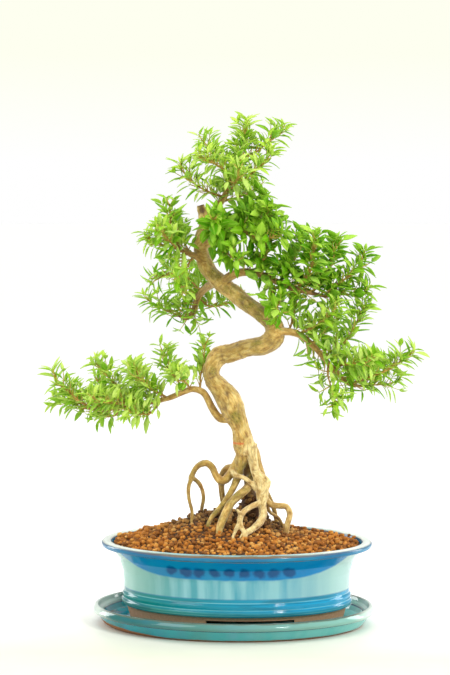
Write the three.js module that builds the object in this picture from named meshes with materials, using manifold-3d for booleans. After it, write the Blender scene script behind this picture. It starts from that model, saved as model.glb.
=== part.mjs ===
// Serissa bonsai: an S-shaped tree on exposed roots, in an oval glazed pot that stands on its drip tray.
// Millimetres, +Z up. The origin is on the plane of the tray's flat underside, below the middle of the pot.
// X runs along the oval and -Y is the front.

import * as THREE from 'three';
import { mergeVertices } from 'three/addons/utils/BufferGeometryUtils.js';
import Module from 'manifold-3d';

const wasm = await Module();
wasm.setup();

// Clearance between neighbours that touch on the real object.
const GAP = 0.3;

// Wood: sides round the trunk and round each branch or root, and rings along the trunk.
const TRUNK_SIDES = 8;
const TRUNK_STEPS = 24;
const LIMB_SIDES = 5;

// Steps in the wood smaller than this are smoothed away.
const SLIVER = 0.15;

// The ovals: round the axis each ring is narrower across than along by twice this much.
const OVAL_NARROWER = 30;
const OVAL_CORE = 60;
const OVAL_SEGMENTS = 32;

// Drip tray.
const TRAY_RIM = 135.6;
const TRAY_HEIGHT = 19;
const TRAY_FLOOR = 6;
const TRAY_FOOT = 122;
const TRAY_OFFSET = - 3;

// Pot: half lengths along X, and heights above its own foot.
const POT_LIP = 130.5;
const POT_LIP_INSIDE = 121;
const POT_BODY = 109.5;
const POT_FOOT = 102.5;
const POT_HEIGHT = 75;
const FOOT_HEIGHT = 11;
const POT_FLOOR = 7;
const FOOT_RING_WIDTH = 9.5;

// Gaps cut in the foot ring, front and back.
const FOOT_GAP_LENGTH = 82;
const FOOT_GAP_CENTRE = 18;
const FOOT_GAP_HEIGHT = 9.7;

// Drain holes and the plastic mesh over them.
const DRAIN_RADIUS = 10;
const DRAIN_OFFSET = 45;
const DRAIN_SIDES = 16;
const SCREEN_SIDE = 28;
const SCREEN_THICKNESS = 1.2;
const SCREEN_HOLE = 5;
const SCREEN_PITCH = 7.5;

// Soil: its level at the pot's wall, and the mound round the roots.
const SOIL_EDGE = 76.5;
const SOIL_TOP_TOLERANCE = 0.01;
const MOUND_HEIGHT = 29;
const MOUND_CENTRE = new THREE.Vector2( - 14, 8 );
const MOUND_SPREAD = new THREE.Vector2( 44, 42 );
const GRAIN_RELIEF = 1.1;
const GRAIN_WAVES = [ 0.9, 0.3, 0.8, - 0.2 ];
const SOIL_RINGS = 5;

// Soil heaped higher between the roots, under the crown: top and bottom radius, height of both, and sides.
const HEAP_RADII = [ 7, 20 ];
const HEAP_HEIGHTS = [ 121, 90 ];
const HEAP_CENTRE = new THREE.Vector2( 13, 13 );
const HEAP_SIDES = 9;

// Leafy twigs: woody at the foot, then a green stem with opposite pairs of leaves.
const TWIG_RADII = [ 1.7, 1.2 ];
const STEM_RADIUS = 0.9;
const STEM_STEP = 11;
const STEM_LIFT = 0.14;
const STEM_SWAY = 0.5;
const JOINT_HEIGHT = 1;
const JOINTS = 3;
const BARE_EVERY = 2;
const SIDE_SHOOT_SPREAD = 0.75;
const LEAF_LENGTH = 17;
const LEAF_WIDTH = 6;
const LEAF_THICKNESS = 0.65;
const LEAF_SPREAD = 0.95;
const LEAF_DROOP = 0.16;
const TIP_LEAF_SIZE = 0.82;
const SIZE_RANGE = [ 0.85, 1.15 ];
const LEAF_ROOT_DEPTH = 0.7;

// A leaf's width along it: share of its length, and half width as a share of its full width.
const LEAF_STATIONS = [ [ 0.4, 0.5 ], [ 0.75, 0.33 ], [ 1, 0 ] ];

// The corner of a square stem, as a share of its radius.
const STEM_CORNER = 0.8;

// The stretch of a leaf, and the share of its width, that must stay clear of its neighbours.
const LEAF_CLEAR_STRETCH = [ 0.15, 0.93 ];
const LEAF_CLEAR_WIDTH = 0.36;
const CAPSULE_SAMPLES = 8;

// The growth of each leafy twig is drawn from its own seed.
const FIRST_SEED = 17;
const SEED_STEP = 1000;

const potBase = TRAY_FLOOR + GAP;
const potUnderside = potBase + FOOT_HEIGHT;
const potFloor = potUnderside + POT_FLOOR;

// Materials.
function finish( color, roughness ) {

	return new THREE.MeshStandardMaterial( { color, roughness, metalness: 0 } );

}

const tealGlaze = finish( 0x3f9a9c, 0.12 );
const blueGlaze = finish( 0x1e6fa8, 0.1 );
const screenPlastic = finish( 0x22262a, 0.6 );
const bakedClay = finish( 0x8a4a22, 0.95 );
const bark = finish( 0xb89a62, 0.85 );
const greenLeaf = finish( 0x5d9a24, 0.4 );

// A closed solid from a three.js geometry: shared vertices merged, flat triangles dropped.
function solid( geometry ) {

	const bare = geometry.clone();
	bare.deleteAttribute( 'normal' );
	bare.deleteAttribute( 'uv' );
	const merged = mergeVertices( bare );
	const corners = merged.index.array;
	const kept = [];

	for ( let i = 0; i < corners.length; i += 3 ) {

		const [ a, b, c ] = corners.slice( i, i + 3 );
		if ( a !== b && b !== c && c !== a ) kept.push( a, b, c );

	}

	return new wasm.Manifold( new wasm.Mesh( {
		numProp: 3,
		vertProperties: merged.attributes.position.array,
		triVerts: new Uint32Array( kept ),
	} ) );

}

function meshOf( name, body, material ) {

	const { numProp, vertProperties, triVerts } = body.getMesh();
	const geometry = new THREE.BufferGeometry();
	const buffer = new THREE.InterleavedBuffer( vertProperties, numProp );
	geometry.setAttribute( 'position', new THREE.InterleavedBufferAttribute( buffer, 3, 0 ) );
	geometry.setIndex( new THREE.BufferAttribute( triVerts, 1 ) );
	geometry.computeVertexNormals();
	const mesh = new THREE.Mesh( geometry, material );
	mesh.name = name;
	return mesh;

}

// The half width of the oval whose half length is r. Walls are as thick at the sides as at the ends.
function halfWidth( r ) {

	return r > OVAL_CORE ? r - OVAL_NARROWER : r * ( OVAL_CORE - OVAL_NARROWER ) / OVAL_CORE;

}

// An oval body turned from a profile of [half length, height] points.
function ovalGeometry( profile ) {

	const points = profile.map( ( [ r, z ] ) => new THREE.Vector2( r, z ) );
	const geometry = new THREE.LatheGeometry( points, OVAL_SEGMENTS );
	geometry.rotateX( Math.PI / 2 );
	const position = geometry.attributes.position;

	for ( let i = 0; i < position.count; i ++ ) {

		const r = Math.hypot( position.getX( i ), position.getY( i ) );
		if ( r > 0 ) position.setY( i, position.getY( i ) * halfWidth( r ) / r );

	}

	return geometry;

}

// The tray: flat underside, flared wall, a band under the rim, a ledge inside and a flat floor.
function makeTray() {

	return solid( ovalGeometry( [
		[ 0, 0 ],
		[ TRAY_FOOT, 0 ],
		[ TRAY_FOOT + 4, 2.5 ],
		[ TRAY_RIM - 4, TRAY_HEIGHT - 8 ],
		[ TRAY_RIM - 0.4, TRAY_HEIGHT - 7 ],
		[ TRAY_RIM, TRAY_HEIGHT - 5 ],
		[ TRAY_RIM - 2.4, TRAY_HEIGHT - 0.2 ],
		[ TRAY_RIM - 5, TRAY_HEIGHT ],
		[ TRAY_RIM - 6.4, TRAY_HEIGHT - 4 ],
		[ TRAY_RIM - 9, TRAY_HEIGHT - 5.8 ],
		[ TRAY_FOOT + 0.5, TRAY_FLOOR ],
		[ 0, TRAY_FLOOR ],
	] ) ).translate( [ TRAY_OFFSET, 0, 0 ] );

}

// The inside of the pot, from the lip down to the floor.
const potInside = [
	[ POT_LIP_INSIDE, potBase + POT_HEIGHT - 0.8 ],
	[ POT_LIP_INSIDE - 1.5, potBase + POT_HEIGHT - 6 ],
	[ POT_BODY - 3.5, potBase + 50 ],
	[ POT_BODY - 9, potBase + 24 ],
	[ POT_BODY - 14, potFloor ],
];

// The pot: a foot ring set in, two rings round the wall, a wall that hollows in and flares out, a broad lip.
function makePot() {

	const wall = ovalGeometry( [
		[ 0, potUnderside ],
		[ POT_FOOT - FOOT_RING_WIDTH - 1.5, potUnderside ],
		[ POT_FOOT - FOOT_RING_WIDTH, potBase ],
		[ POT_FOOT, potBase ],
		[ POT_FOOT + 3.5, potBase + 12.6 ],
		[ POT_BODY + 0.8, potBase + 13.9 ],
		[ POT_BODY + 1.2, potBase + 18.2 ],
		[ POT_BODY - 0.4, potBase + 19.6 ],
		[ POT_BODY + 0.4, potBase + 24.6 ],
		[ POT_BODY - 0.9, potBase + 26 ],
		[ POT_BODY + 0.3, potBase + 44 ],
		[ POT_BODY + 4, potBase + 58 ],
		[ POT_LIP - 9, potBase + 67.5 ],
		[ POT_LIP - 1, potBase + 68.8 ],
		[ POT_LIP, potBase + 72.5 ],
		[ POT_LIP - 4.5, potBase + POT_HEIGHT ],
		...potInside,
		[ 0, potFloor ],
	] );

	let pot = solid( wall );
	const footGap = new THREE.BoxGeometry( FOOT_GAP_LENGTH, 2 * POT_LIP, 2 * FOOT_GAP_HEIGHT );
	footGap.translate( FOOT_GAP_CENTRE, 0, potBase );
	pot = pot.subtract( solid( footGap ) );

	for ( const side of [ - 1, 1 ] ) {

		const hole = new THREE.CylinderGeometry( DRAIN_RADIUS, DRAIN_RADIUS, 3 * POT_FLOOR, DRAIN_SIDES );
		hole.rotateX( Math.PI / 2 );
		hole.translate( side * DRAIN_OFFSET, 0, potUnderside );
		pot = pot.subtract( solid( hole ) );

	}

	return pot;

}

// A square of plastic mesh that lies on the pot's floor over a drain hole.
function makeScreen( side ) {

	let screen = solid( new THREE.BoxGeometry( SCREEN_SIDE, SCREEN_SIDE, SCREEN_THICKNESS ) );

	for ( const column of [ - 1, 0, 1 ] ) {

		for ( const row of [ - 1, 0, 1 ] ) {

			const hole = new THREE.BoxGeometry( SCREEN_HOLE, SCREEN_HOLE, 2 * SCREEN_THICKNESS );
			hole.translate( column * SCREEN_PITCH, row * SCREEN_PITCH, 0 );
			screen = screen.subtract( solid( hole ) );

		}

	}

	return screen.translate( [ side * DRAIN_OFFSET, 0, potFloor + GAP + SCREEN_THICKNESS / 2 ] );

}

// The height of the soil: level near the pot's wall, with a mound under the roots and a grainy relief.
function soilHeight( x, y ) {

	const dx = ( x - MOUND_CENTRE.x ) / MOUND_SPREAD.x;
	const dy = ( y - MOUND_CENTRE.y ) / MOUND_SPREAD.y;
	const mound = MOUND_HEIGHT * Math.exp( - ( dx * dx + dy * dy ) / 2 );
	const [ a, b, c, d ] = GRAIN_WAVES;
	const grains = GRAIN_RELIEF * Math.sin( a * x + b * y ) * Math.cos( c * y + d * x );
	return SOIL_EDGE + mound + grains;

}

// The soil fills the pot from its floor up, clear of the wall, the screens and the roots.
function makeSoil( roots ) {

	const outside = potInside.slice( 1 ).map( ( [ r, z ] ) => [ r - 2 * GAP, z ] );
	outside[ 0 ][ 1 ] = SOIL_EDGE;
	const [ edgeRadius ] = outside[ 0 ];
	const bottom = potFloor + SCREEN_THICKNESS + 2 * GAP;
	outside[ outside.length - 1 ][ 1 ] = bottom;
	const top = [];

	for ( let ring = 1; ring <= SOIL_RINGS; ring ++ ) {

		top.push( [ edgeRadius * ( 1 - ring / SOIL_RINGS ), SOIL_EDGE ] );

	}

	const geometry = ovalGeometry( [ [ 0, bottom ], ...outside.reverse(), ...top ] );
	const position = geometry.attributes.position;

	for ( let i = 0; i < position.count; i ++ ) {

		if ( position.getZ( i ) < SOIL_EDGE - SOIL_TOP_TOLERANCE ) continue;
		const x = position.getX( i );
		const y = position.getY( i );
		position.setZ( i, soilHeight( x, y ) );

	}

	const [ heapTop, heapBottom ] = HEAP_HEIGHTS;
	const heap = new THREE.CylinderGeometry( ...HEAP_RADII, heapTop - heapBottom, HEAP_SIDES );
	heap.rotateX( Math.PI / 2 );
	heap.translate( HEAP_CENTRE.x, HEAP_CENTRE.y, ( heapTop + heapBottom ) / 2 );
	return solid( geometry ).add( solid( heap ) ).subtract( roots );

}

// A limb of wood along a route of [x, y, z, radius] points: a cylinder bent along the curve.
// The radius grows by extra, and each end runs on by extra, for the room that a neighbour leaves.
function limb( { route, sides, steps, extra = 0 } ) {

	const points = route.map( ( [ x, y, z ] ) => new THREE.Vector3( x, y, z ) );
	const curve = new THREE.CatmullRomCurve3( points, false, 'centripetal' );
	const frames = curve.computeFrenetFrames( steps );
	const geometry = new THREE.CylinderGeometry( 1, 1, 1, sides, steps );
	const position = geometry.attributes.position;
	const place = new THREE.Vector3();

	for ( let i = 0; i < position.count; i ++ ) {

		const ring = Math.round( ( position.getY( i ) + 0.5 ) * steps );
		const t = curve.getUtoTmapping( ring / steps );
		const span = Math.min( Math.floor( t * ( route.length - 1 ) ), route.length - 2 );
		const share = t * ( route.length - 1 ) - span;
		const radius = THREE.MathUtils.lerp( route[ span ][ 3 ], route[ span + 1 ][ 3 ], share ) + extra;
		curve.getPoint( t, place );
		place.addScaledVector( frames.normals[ ring ], position.getX( i ) * radius );
		place.addScaledVector( frames.binormals[ ring ], - position.getZ( i ) * radius );
		if ( ring === 0 ) place.addScaledVector( frames.tangents[ ring ], - extra );
		if ( ring === steps ) place.addScaledVector( frames.tangents[ ring ], extra );
		position.setXYZ( i, place.x, place.y, place.z );

	}

	return solid( geometry );

}

// The trunk, from the crown of the roots up to the fork: routes are [x, y, z, radius].
const trunkRoute = [
	[ 9.5, 0, 163, 10 ], [ 7, 0, 173, 10.4 ], [ 4, 0, 188, 8.2 ], [ - 3, 1, 204, 11.2 ], [ - 8, 2, 215, 12 ],
	[ - 16, 4, 226, 9.8 ], [ - 24, 6, 236, 8 ], [ - 24, 8, 247, 8.2 ], [ - 17, 8, 257, 9.2 ],
	[ - 5, 5, 260, 8.6 ], [ 10, 1, 265, 8.2 ], [ 26, - 3, 268, 9.2 ], [ 36, - 6, 276, 10 ],
	[ 36, - 7, 287, 9 ], [ 27, - 5, 296, 7.9 ], [ 15, - 2, 304, 7.5 ], [ 0, 1, 315, 8 ],
	[ - 14, 4, 326, 8 ], [ - 27, 5, 339, 7.3 ], [ - 33, 4, 352, 6.9 ], [ - 35, 3, 365, 6.7 ],
	[ - 31, 2, 378, 6.2 ], [ - 28, 1, 388, 4.6 ],
];

// The cut-back old leader at the fork.
const stubRoute = [ [ - 30, 1, 380, 5.4 ], [ - 32, 2, 391, 4.9 ], [ - 35, 3, 402, 4 ] ];

// Roots: each starts in the crown and ends under the soil.
const rootRoutes = {
	crown: [ [ 7, 0, 168, 8 ], [ 4.6, - 1, 157, 6.4 ], [ 3.2, - 2, 147, 3.2 ] ],
	heart: [ [ 12, 8, 160, 8 ], [ 12, 11, 146, 7 ], [ 12, 12, 130, 5.5 ], [ 12, 13, 100, 4.5 ] ],
	leftArch: [
		[ 6, 0, 165, 5.8 ], [ - 0.5, 2, 153, 4.6 ], [ - 6.5, 2, 143, 4.1 ], [ - 13, 0.5, 136.8, 3.9 ],
		[ - 18.5, 0, 140.5, 3.6 ], [ - 23.5, 1, 150, 3.4 ], [ - 29, 2, 154, 3.3 ],
		[ - 35, 3.5, 152.5, 3 ], [ - 40, 4, 148, 2.7 ], [ - 43.5, 2, 139.5, 2.4 ],
		[ - 46, - 2, 130.5, 2 ], [ - 45, - 6, 119, 1.8 ], [ - 42, - 8, 107, 1.8 ],
		[ - 43, - 10, 92, 1.7 ],
	],
	leftFork: [
		[ - 43, 2, 140, 2.2 ], [ - 36.5, 9, 132.5, 2.1 ], [ - 33, 13, 120, 1.8 ], [ - 35, 15, 107, 1.8 ],
		[ - 37, 16, 90, 1.6 ],
	],
	leftDrop: [
		[ - 14.5, 1, 137, 2.8 ], [ - 14, 8, 125, 2 ], [ - 13, 13, 110, 1.8 ], [ - 13, 14, 92, 1.6 ],
	],
	back: [
		[ 5, 8, 157, 4.6 ], [ - 4, 18, 149, 3.6 ], [ - 13, 24, 145, 3.1 ], [ - 18, 31, 136, 2.6 ],
		[ - 18, 35, 124, 2.3 ], [ - 14, 39, 92, 2 ],
	],
	frontLeft: [
		[ 3, 0, 147, 4.2 ], [ - 1, - 4, 135, 3.6 ], [ - 5.4, - 10.5, 126.4, 3 ],
		[ - 13.6, - 17, 114.5, 2.5 ], [ - 23.4, - 24, 102.8, 2.2 ], [ - 28, - 29, 84, 1.8 ],
	],
	mainFront: [
		[ 13, 6, 142, 3.6 ], [ 12.5, - 4, 134, 4 ], [ 5.2, - 13.6, 127, 4 ],
		[ - 3.7, - 22.4, 118.6, 4.1 ], [ - 8.5, - 30.8, 108.7, 4.2 ], [ - 12.3, - 38, 98.7, 3.6 ],
		[ - 15, - 44, 76, 2.8 ],
	],
	cross: [
		[ - 3, - 1, 146.5, 3 ], [ - 0.8, - 7, 143.5, 2.5 ], [ 7.3, - 10.5, 141.6, 2.4 ],
		[ 14.5, - 11, 137, 2.3 ], [ 19.5, - 9.6, 130, 2.3 ],
	],
	right: [
		[ 13.9, - 2, 173, 6 ], [ 15.5, - 5.8, 162.5, 4.9 ], [ 17.4, - 7.6, 152, 4.4 ],
		[ 21.2, - 9.3, 141, 4.7 ], [ 23.3, - 10.2, 130, 4.4 ], [ 24.8, - 12.5, 119, 4.2 ],
		[ 27, - 18, 109, 4 ], [ 24.5, - 25.5, 101.5, 3.7 ], [ 18, - 33.5, 96, 3.2 ],
		[ 9.5, - 42, 91, 2.6 ], [ 4, - 47, 76, 2.2 ],
	],
	elbow: [
		[ 20, - 9, 147, 3 ], [ 26, - 8, 142, 3.2 ], [ 31.5, - 9, 137.5, 2.6 ], [ 29, - 11, 132, 3 ],
		[ 28, - 13, 124, 3.2 ], [ 26, - 17, 116, 3 ],
	],
	rightBack: [
		[ 12, 2, 174, 5 ], [ 18.2, 4, 164, 3.8 ], [ 21, 5, 152, 3.6 ], [ 24.5, 6, 141, 3.6 ],
		[ 27, 3, 131, 3.4 ], [ 27, - 2, 121, 2.9 ],
	],
	loop: [
		[ 25.8, - 12, 118.5, 3.2 ], [ 20.7, - 18.4, 117.5, 2.9 ], [ 14, - 25, 115, 2.8 ],
		[ 8.2, - 31.5, 110.6, 2.9 ], [ 6.1, - 35.6, 105, 2.9 ], [ 7, - 38.6, 99.8, 2.6 ],
		[ 11.4, - 42.2, 92, 2 ], [ 14, - 47, 76, 1.6 ],
	],
	spur: [ [ 7, - 33.5, 108.5, 2 ], [ 3, - 35, 115, 1.3 ] ],
	loopFoot: [ [ 6.2, - 36, 104, 2.2 ], [ 0.5, - 44, 90.5, 1.8 ], [ - 2, - 49, 74, 1.6 ] ],
	rightArch: [
		[ 25, - 1, 125, 3.8 ], [ 32, 1, 115, 3.2 ], [ 40, 4, 113, 3 ], [ 48, 5, 112, 2.9 ],
		[ 51, 3, 106, 3.1 ], [ 49, - 3, 96, 2.9 ], [ 46, - 7, 76, 2.4 ],
	],
	rightThin: [ [ 26, 2, 120, 2.5 ], [ 31, 9, 107, 1.9 ], [ 40, 14, 99, 1.6 ], [ 48, 17, 80, 1.4 ] ],
	backRight: [
		[ 14, 8, 158, 4.4 ], [ 18, 20, 140, 3.4 ], [ 27, 28, 122, 2.8 ], [ 34, 34, 106, 2.4 ], [ 38, 38, 80, 1.9 ],
	],
};

// Main branches, each from inside the trunk out to where its last shoot starts.
const branchRoutes = {
	lowLeft: [
		[ - 6, 2, 197, 4.4 ], [ - 16, 4, 197, 4 ], [ - 24, 5, 207, 3.6 ], [ - 32, 6, 221, 3.3 ],
		[ - 42, 4, 225, 3.1 ],
		[ - 52, 0, 222, 2.9 ], [ - 65, - 6, 217, 2.7 ], [ - 82, - 10, 213, 2.4 ], [ - 107, - 6, 209, 2.1 ],
		[ - 129, 0, 204, 1.7 ], [ - 148, 6, 206, 1.3 ],
	],
	midRight: [
		[ - 14, 2, 328, 4.6 ], [ 2, - 8, 337, 3.9 ], [ 20, - 16, 337, 3.5 ], [ 43, - 22, 328, 3.1 ],
		[ 59, - 24, 322, 2.6 ], [ 74, - 19, 318, 2 ], [ 88, - 14, 315, 1.5 ],
	],
	lowRight: [
		[ 34, - 7, 280, 5 ], [ 48, - 14, 282, 3.7 ], [ 61, - 14, 279, 3.2 ], [ 74, - 12, 268, 2.9 ],
		[ 92, - 8, 247, 2.5 ], [ 107, - 4, 232, 2 ], [ 119, 0, 229, 1.5 ],
	],
	backLeft: [
		[ - 17, 6, 330, 4.6 ], [ - 32, 28, 321, 3.6 ], [ - 42, 44, 310, 3.1 ], [ - 47, 52, 296, 2.8 ],
		[ - 54, 56, 290, 2.2 ], [ - 62, 58, 293, 1.6 ],
	],
	upLeft: [ [ - 33, 3, 350, 4.2 ], [ - 44, - 7, 355, 2.8 ], [ - 54, - 12, 359, 1.7 ] ],
	upMid: [ [ - 33, 2, 362, 4.2 ], [ - 18, - 14, 369, 3.2 ], [ - 4, - 24, 375, 2.5 ], [ 8, - 28, 381, 1.6 ] ],
	leader: [
		[ - 29, 1, 384, 4.6 ], [ - 21, 0, 396, 3.8 ], [ - 12, - 2, 409, 2.9 ], [ - 6, - 4, 423, 2.3 ],
		[ - 1, - 2, 436, 1.8 ], [ 3, 0, 446, 1.4 ],
	],
};

// Leafy twigs off the branches: where each starts, where its green shoot starts, and what it points at.
const twigRoutes = {
	lowLeft: [
		[ [ - 44, 3, 225 ], [ - 46, - 14, 232 ], [ - 54, - 40, 240 ] ],
		[ [ - 52, 0, 222 ], [ - 58, 14, 233 ], [ - 76, 36, 246 ] ],
		[ [ - 66, - 6, 217 ], [ - 76, - 20, 225 ], [ - 100, - 46, 236 ] ],
		[ [ - 82, - 10, 213 ], [ - 92, 6, 224 ], [ - 108, 32, 240 ] ],
		[ [ - 98, - 8, 210 ], [ - 108, - 22, 214 ], [ - 134, - 44, 218 ] ],
		[ [ - 138, 3, 205 ], [ - 152, - 4, 214 ], [ - 180, - 14, 232 ] ],
		[ [ - 120, - 3, 206 ], [ - 128, 12, 212 ], [ - 146, 40, 222 ] ],
		[ [ - 107, - 6, 209 ], [ - 112, - 6, 222 ], [ - 124, - 12, 248 ] ],
		[ [ - 74, - 8, 215 ], [ - 78, - 14, 206 ], [ - 90, - 30, 193 ] ],
		[ [ - 113, - 5, 208 ], [ - 116, 4, 200 ], [ - 128, 18, 190 ] ],
		[ [ - 36, 5, 224 ], [ - 36, 14, 236 ], [ - 32, 28, 262 ] ],
	],
	midRight: [
		[ [ 20, - 16, 337 ], [ 28, - 24, 352 ], [ 42, - 36, 384 ] ],
		[ [ 43, - 22, 328 ], [ 52, - 8, 344 ], [ 66, 12, 376 ] ],
		[ [ 59, - 24, 322 ], [ 72, - 34, 340 ], [ 86, - 46, 372 ] ],
		[ [ 72, - 19, 318 ], [ 84, - 6, 334 ], [ 102, 14, 360 ] ],
		[ [ 84, - 15, 315 ], [ 98, - 18, 328 ], [ 124, - 24, 346 ] ],
		[ [ 32, - 19, 332 ], [ 36, - 24, 320 ], [ 48, - 38, 300 ] ],
	],
	lowRight: [
		[ [ 61, - 14, 279 ], [ 72, - 24, 286 ], [ 96, - 42, 296 ] ],
		[ [ 72, - 12, 270 ], [ 80, 4, 278 ], [ 100, 30, 288 ] ],
		[ [ 92, - 8, 247 ], [ 106, - 20, 252 ], [ 132, - 40, 258 ] ],
		[ [ 83, - 10, 257 ], [ 104, - 6, 272 ], [ 132, 2, 296 ] ],
		[ [ 107, - 4, 232 ], [ 136, - 8, 242 ], [ 170, - 10, 254 ] ],
		[ [ 100, - 6, 239 ], [ 112, 10, 244 ], [ 136, 34, 250 ] ],
		[ [ 50, - 14, 282 ], [ 54, - 8, 294 ], [ 64, 6, 316 ] ],
		[ [ 88, - 9, 251 ], [ 88, - 18, 241 ], [ 90, - 32, 221 ] ],
	],
	backLeft: [
		[ [ - 47, 52, 296 ], [ - 46, 62, 306 ], [ - 42, 78, 326 ] ],
		[ [ - 41, 42, 311 ], [ - 32, 48, 303 ], [ - 14, 56, 297 ] ],
		[ [ - 36, 34, 318 ], [ - 46, 38, 326 ], [ - 64, 42, 344 ] ],
	],
	upLeft: [
		[ [ - 50, - 10, 357 ], [ - 56, - 22, 362 ], [ - 64, - 46, 370 ] ],
		[ [ - 44, - 7, 355 ], [ - 50, 6, 364 ], [ - 62, 28, 378 ] ],
		[ [ - 47, - 9, 356 ], [ - 50, - 19, 345 ], [ - 58, - 36, 326 ] ],
		[ [ - 40, - 4, 353 ], [ - 48, 2, 342 ], [ - 64, 14, 322 ] ],
		[ [ - 52, - 11, 358 ], [ - 60, - 6, 370 ], [ - 66, 0, 396 ] ],
	],
	upMid: [
		[ [ - 18, - 14, 369 ], [ - 18, - 28, 374 ], [ - 16, - 52, 384 ] ],
		[ [ - 4, - 24, 375 ], [ 4, - 12, 382 ], [ 20, 8, 396 ] ],
		[ [ 3, - 26, 378 ], [ 14, - 36, 374 ], [ 38, - 50, 366 ] ],
		[ [ - 34, 3, 360 ], [ - 28, 18, 364 ], [ - 14, 44, 374 ] ],
		[ [ - 11, - 19, 372 ], [ - 10, - 30, 362 ], [ - 6, - 46, 342 ] ],
	],
	leader: [
		[ [ - 12, - 2, 409 ], [ - 26, - 8, 414 ], [ - 52, - 16, 424 ] ],
		[ [ - 16, - 1, 403 ], [ - 2, 10, 408 ], [ 20, 28, 416 ] ],
		[ [ - 7, - 4, 421 ], [ 8, - 12, 426 ], [ 36, - 24, 436 ] ],
		[ [ - 1, - 2, 436 ], [ - 14, 6, 442 ], [ - 38, 20, 454 ] ],
		[ [ - 4, - 3, 428 ], [ - 12, - 14, 436 ], [ - 26, - 36, 448 ] ],
		[ [ 2, - 1, 443 ], [ 16, 4, 450 ], [ 44, 10, 462 ] ],
		[ [ - 9, - 3, 415 ], [ - 2, - 16, 418 ], [ 12, - 42, 424 ] ],
	],
};

function limbsOf( routes, extra ) {

	return Object.values( routes ).map( ( route ) => limb( {
		route, sides: LIMB_SIDES, steps: route.length - 1, extra,
	} ) );

}

function woodAbove( extra ) {

	const trunk = limb( { route: trunkRoute, sides: TRUNK_SIDES, steps: TRUNK_STEPS, extra } );
	const stub = limb( { route: stubRoute, sides: TRUNK_SIDES, steps: stubRoute.length - 1, extra } );
	return wasm.Manifold.union( [ trunk, stub, ...limbsOf( branchRoutes, extra ) ] );

}

function rootWood( extra ) {

	return wasm.Manifold.union( limbsOf( rootRoutes, extra ) );

}

// A seeded draw between 0 and 1.
function seeded( seed ) {

	let state = seed;
	return () => {

		state = ( state * 1664525 + 1013904223 ) % 4294967296;
		return state / 4294967296;

	};

}

// The four directions out of a square stem, in the order of its sides.
function facetNormals( side, other ) {

	return [ other.clone(), side.clone().negate(), other.clone().negate(), side.clone() ];

}

// Turns side square to direction again, after direction has changed.
function squareUp( side, direction ) {

	side.addScaledVector( direction, - side.dot( direction ) ).normalize();
	return new THREE.Vector3().crossVectors( direction, side );

}

function planLeaf( { place, direction, normal, facet, size } ) {

	const out = direction.clone().multiplyScalar( Math.cos( LEAF_SPREAD ) );
	out.addScaledVector( normal, Math.sin( LEAF_SPREAD ) ).normalize();
	const across = new THREE.Vector3().crossVectors( direction, normal ).normalize();
	const upper = new THREE.Vector3().crossVectors( out, across );
	const root = place.clone().addScaledVector( normal, LEAF_ROOT_DEPTH * STEM_RADIUS );
	return { facet, root, out, across, upper, length: LEAF_LENGTH * size, width: LEAF_WIDTH * size };

}

// The rule of a green shoot: it lifts and sways as it grows, and bears a pair of leaves at each joint,
// each pair a quarter turn round from the last. The lowest joints can also bear a side shoot each.
function planShoot( { start, heading, side, joints, sideShoots, random } ) {

	const place = start.clone();
	const direction = heading.clone();
	const shoot = [];

	for ( let joint = 1; joint <= joints; joint ++ ) {

		direction.x += STEM_SWAY * ( random() - 0.5 );
		direction.y += STEM_SWAY * ( random() - 0.5 );
		direction.z += STEM_SWAY * ( random() - 0.5 ) + STEM_LIFT;
		direction.normalize();
		const other = squareUp( side, direction );
		place.addScaledVector( direction, STEM_STEP * THREE.MathUtils.lerp( ...SIZE_RANGE, random() ) );
		const normals = facetNormals( side, other );
		const leafFacets = joint % 2 ? [ 0, 2 ] : [ 1, 3 ];
		const size = ( joint === joints ? TIP_LEAF_SIZE : 1 ) * THREE.MathUtils.lerp( ...SIZE_RANGE, random() );
		const leaves = leafFacets.map( ( facet ) => planLeaf( {
			place, direction, normal: normals[ facet ], facet, size,
		} ) );
		const knot = { place: place.clone(), direction: direction.clone(), side: side.clone(), other, leaves };

		if ( joint <= sideShoots ) {

			const facet = ( leafFacets[ 0 ] + ( joint === 1 ? 1 : 3 ) ) % 4;
			const sideways = direction.clone().multiplyScalar( Math.cos( SIDE_SHOOT_SPREAD ) );
			sideways.addScaledVector( normals[ facet ], Math.sin( SIDE_SHOOT_SPREAD ) ).normalize();
			knot.sideFacet = facet;
			knot.sideShoot = planShoot( {
				start: place.clone().addScaledVector( normals[ facet ], STEM_RADIUS ),
				heading: sideways,
				side: side.clone(),
				joints: 1,
				sideShoots: 0,
				random,
			} );

		}

		shoot.push( knot );

	}

	return shoot;

}

// Every leafy twig as { name, foot, shoot }: foot is the woody route, from inside its branch.
function planSprays() {

	const sprays = [];

	for ( const [ branch, route ] of Object.entries( branchRoutes ) ) {

		const tips = [ route.slice( - 2 ), ...twigRoutes[ branch ] ];
		tips.forEach( ( points, i ) => {

			const places = points.map( ( [ x, y, z ] ) => new THREE.Vector3( x, y, z ) );
			const [ start, aim ] = places.slice( - 2 );
			const isTip = i === 0;
			const heading = aim.clone().sub( start ).normalize();
			sprays.push( {
				name: `spray_${ branch }_${ i + 1 }`,
				foot: isTip ? [ aim ] : [ places[ 0 ], start ],
				shoot: planShoot( {
					start: isTip ? aim : start,
					heading,
					side: new THREE.Vector3( - heading.y, heading.x, 0 ).normalize(),
					joints: JOINTS,
					sideShoots: i % BARE_EVERY ? 1 : 0,
					random: seeded( SEED_STEP * sprays.length + FIRST_SEED ),
				} ),
			} );

		} );

	}

	return sprays;

}

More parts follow.
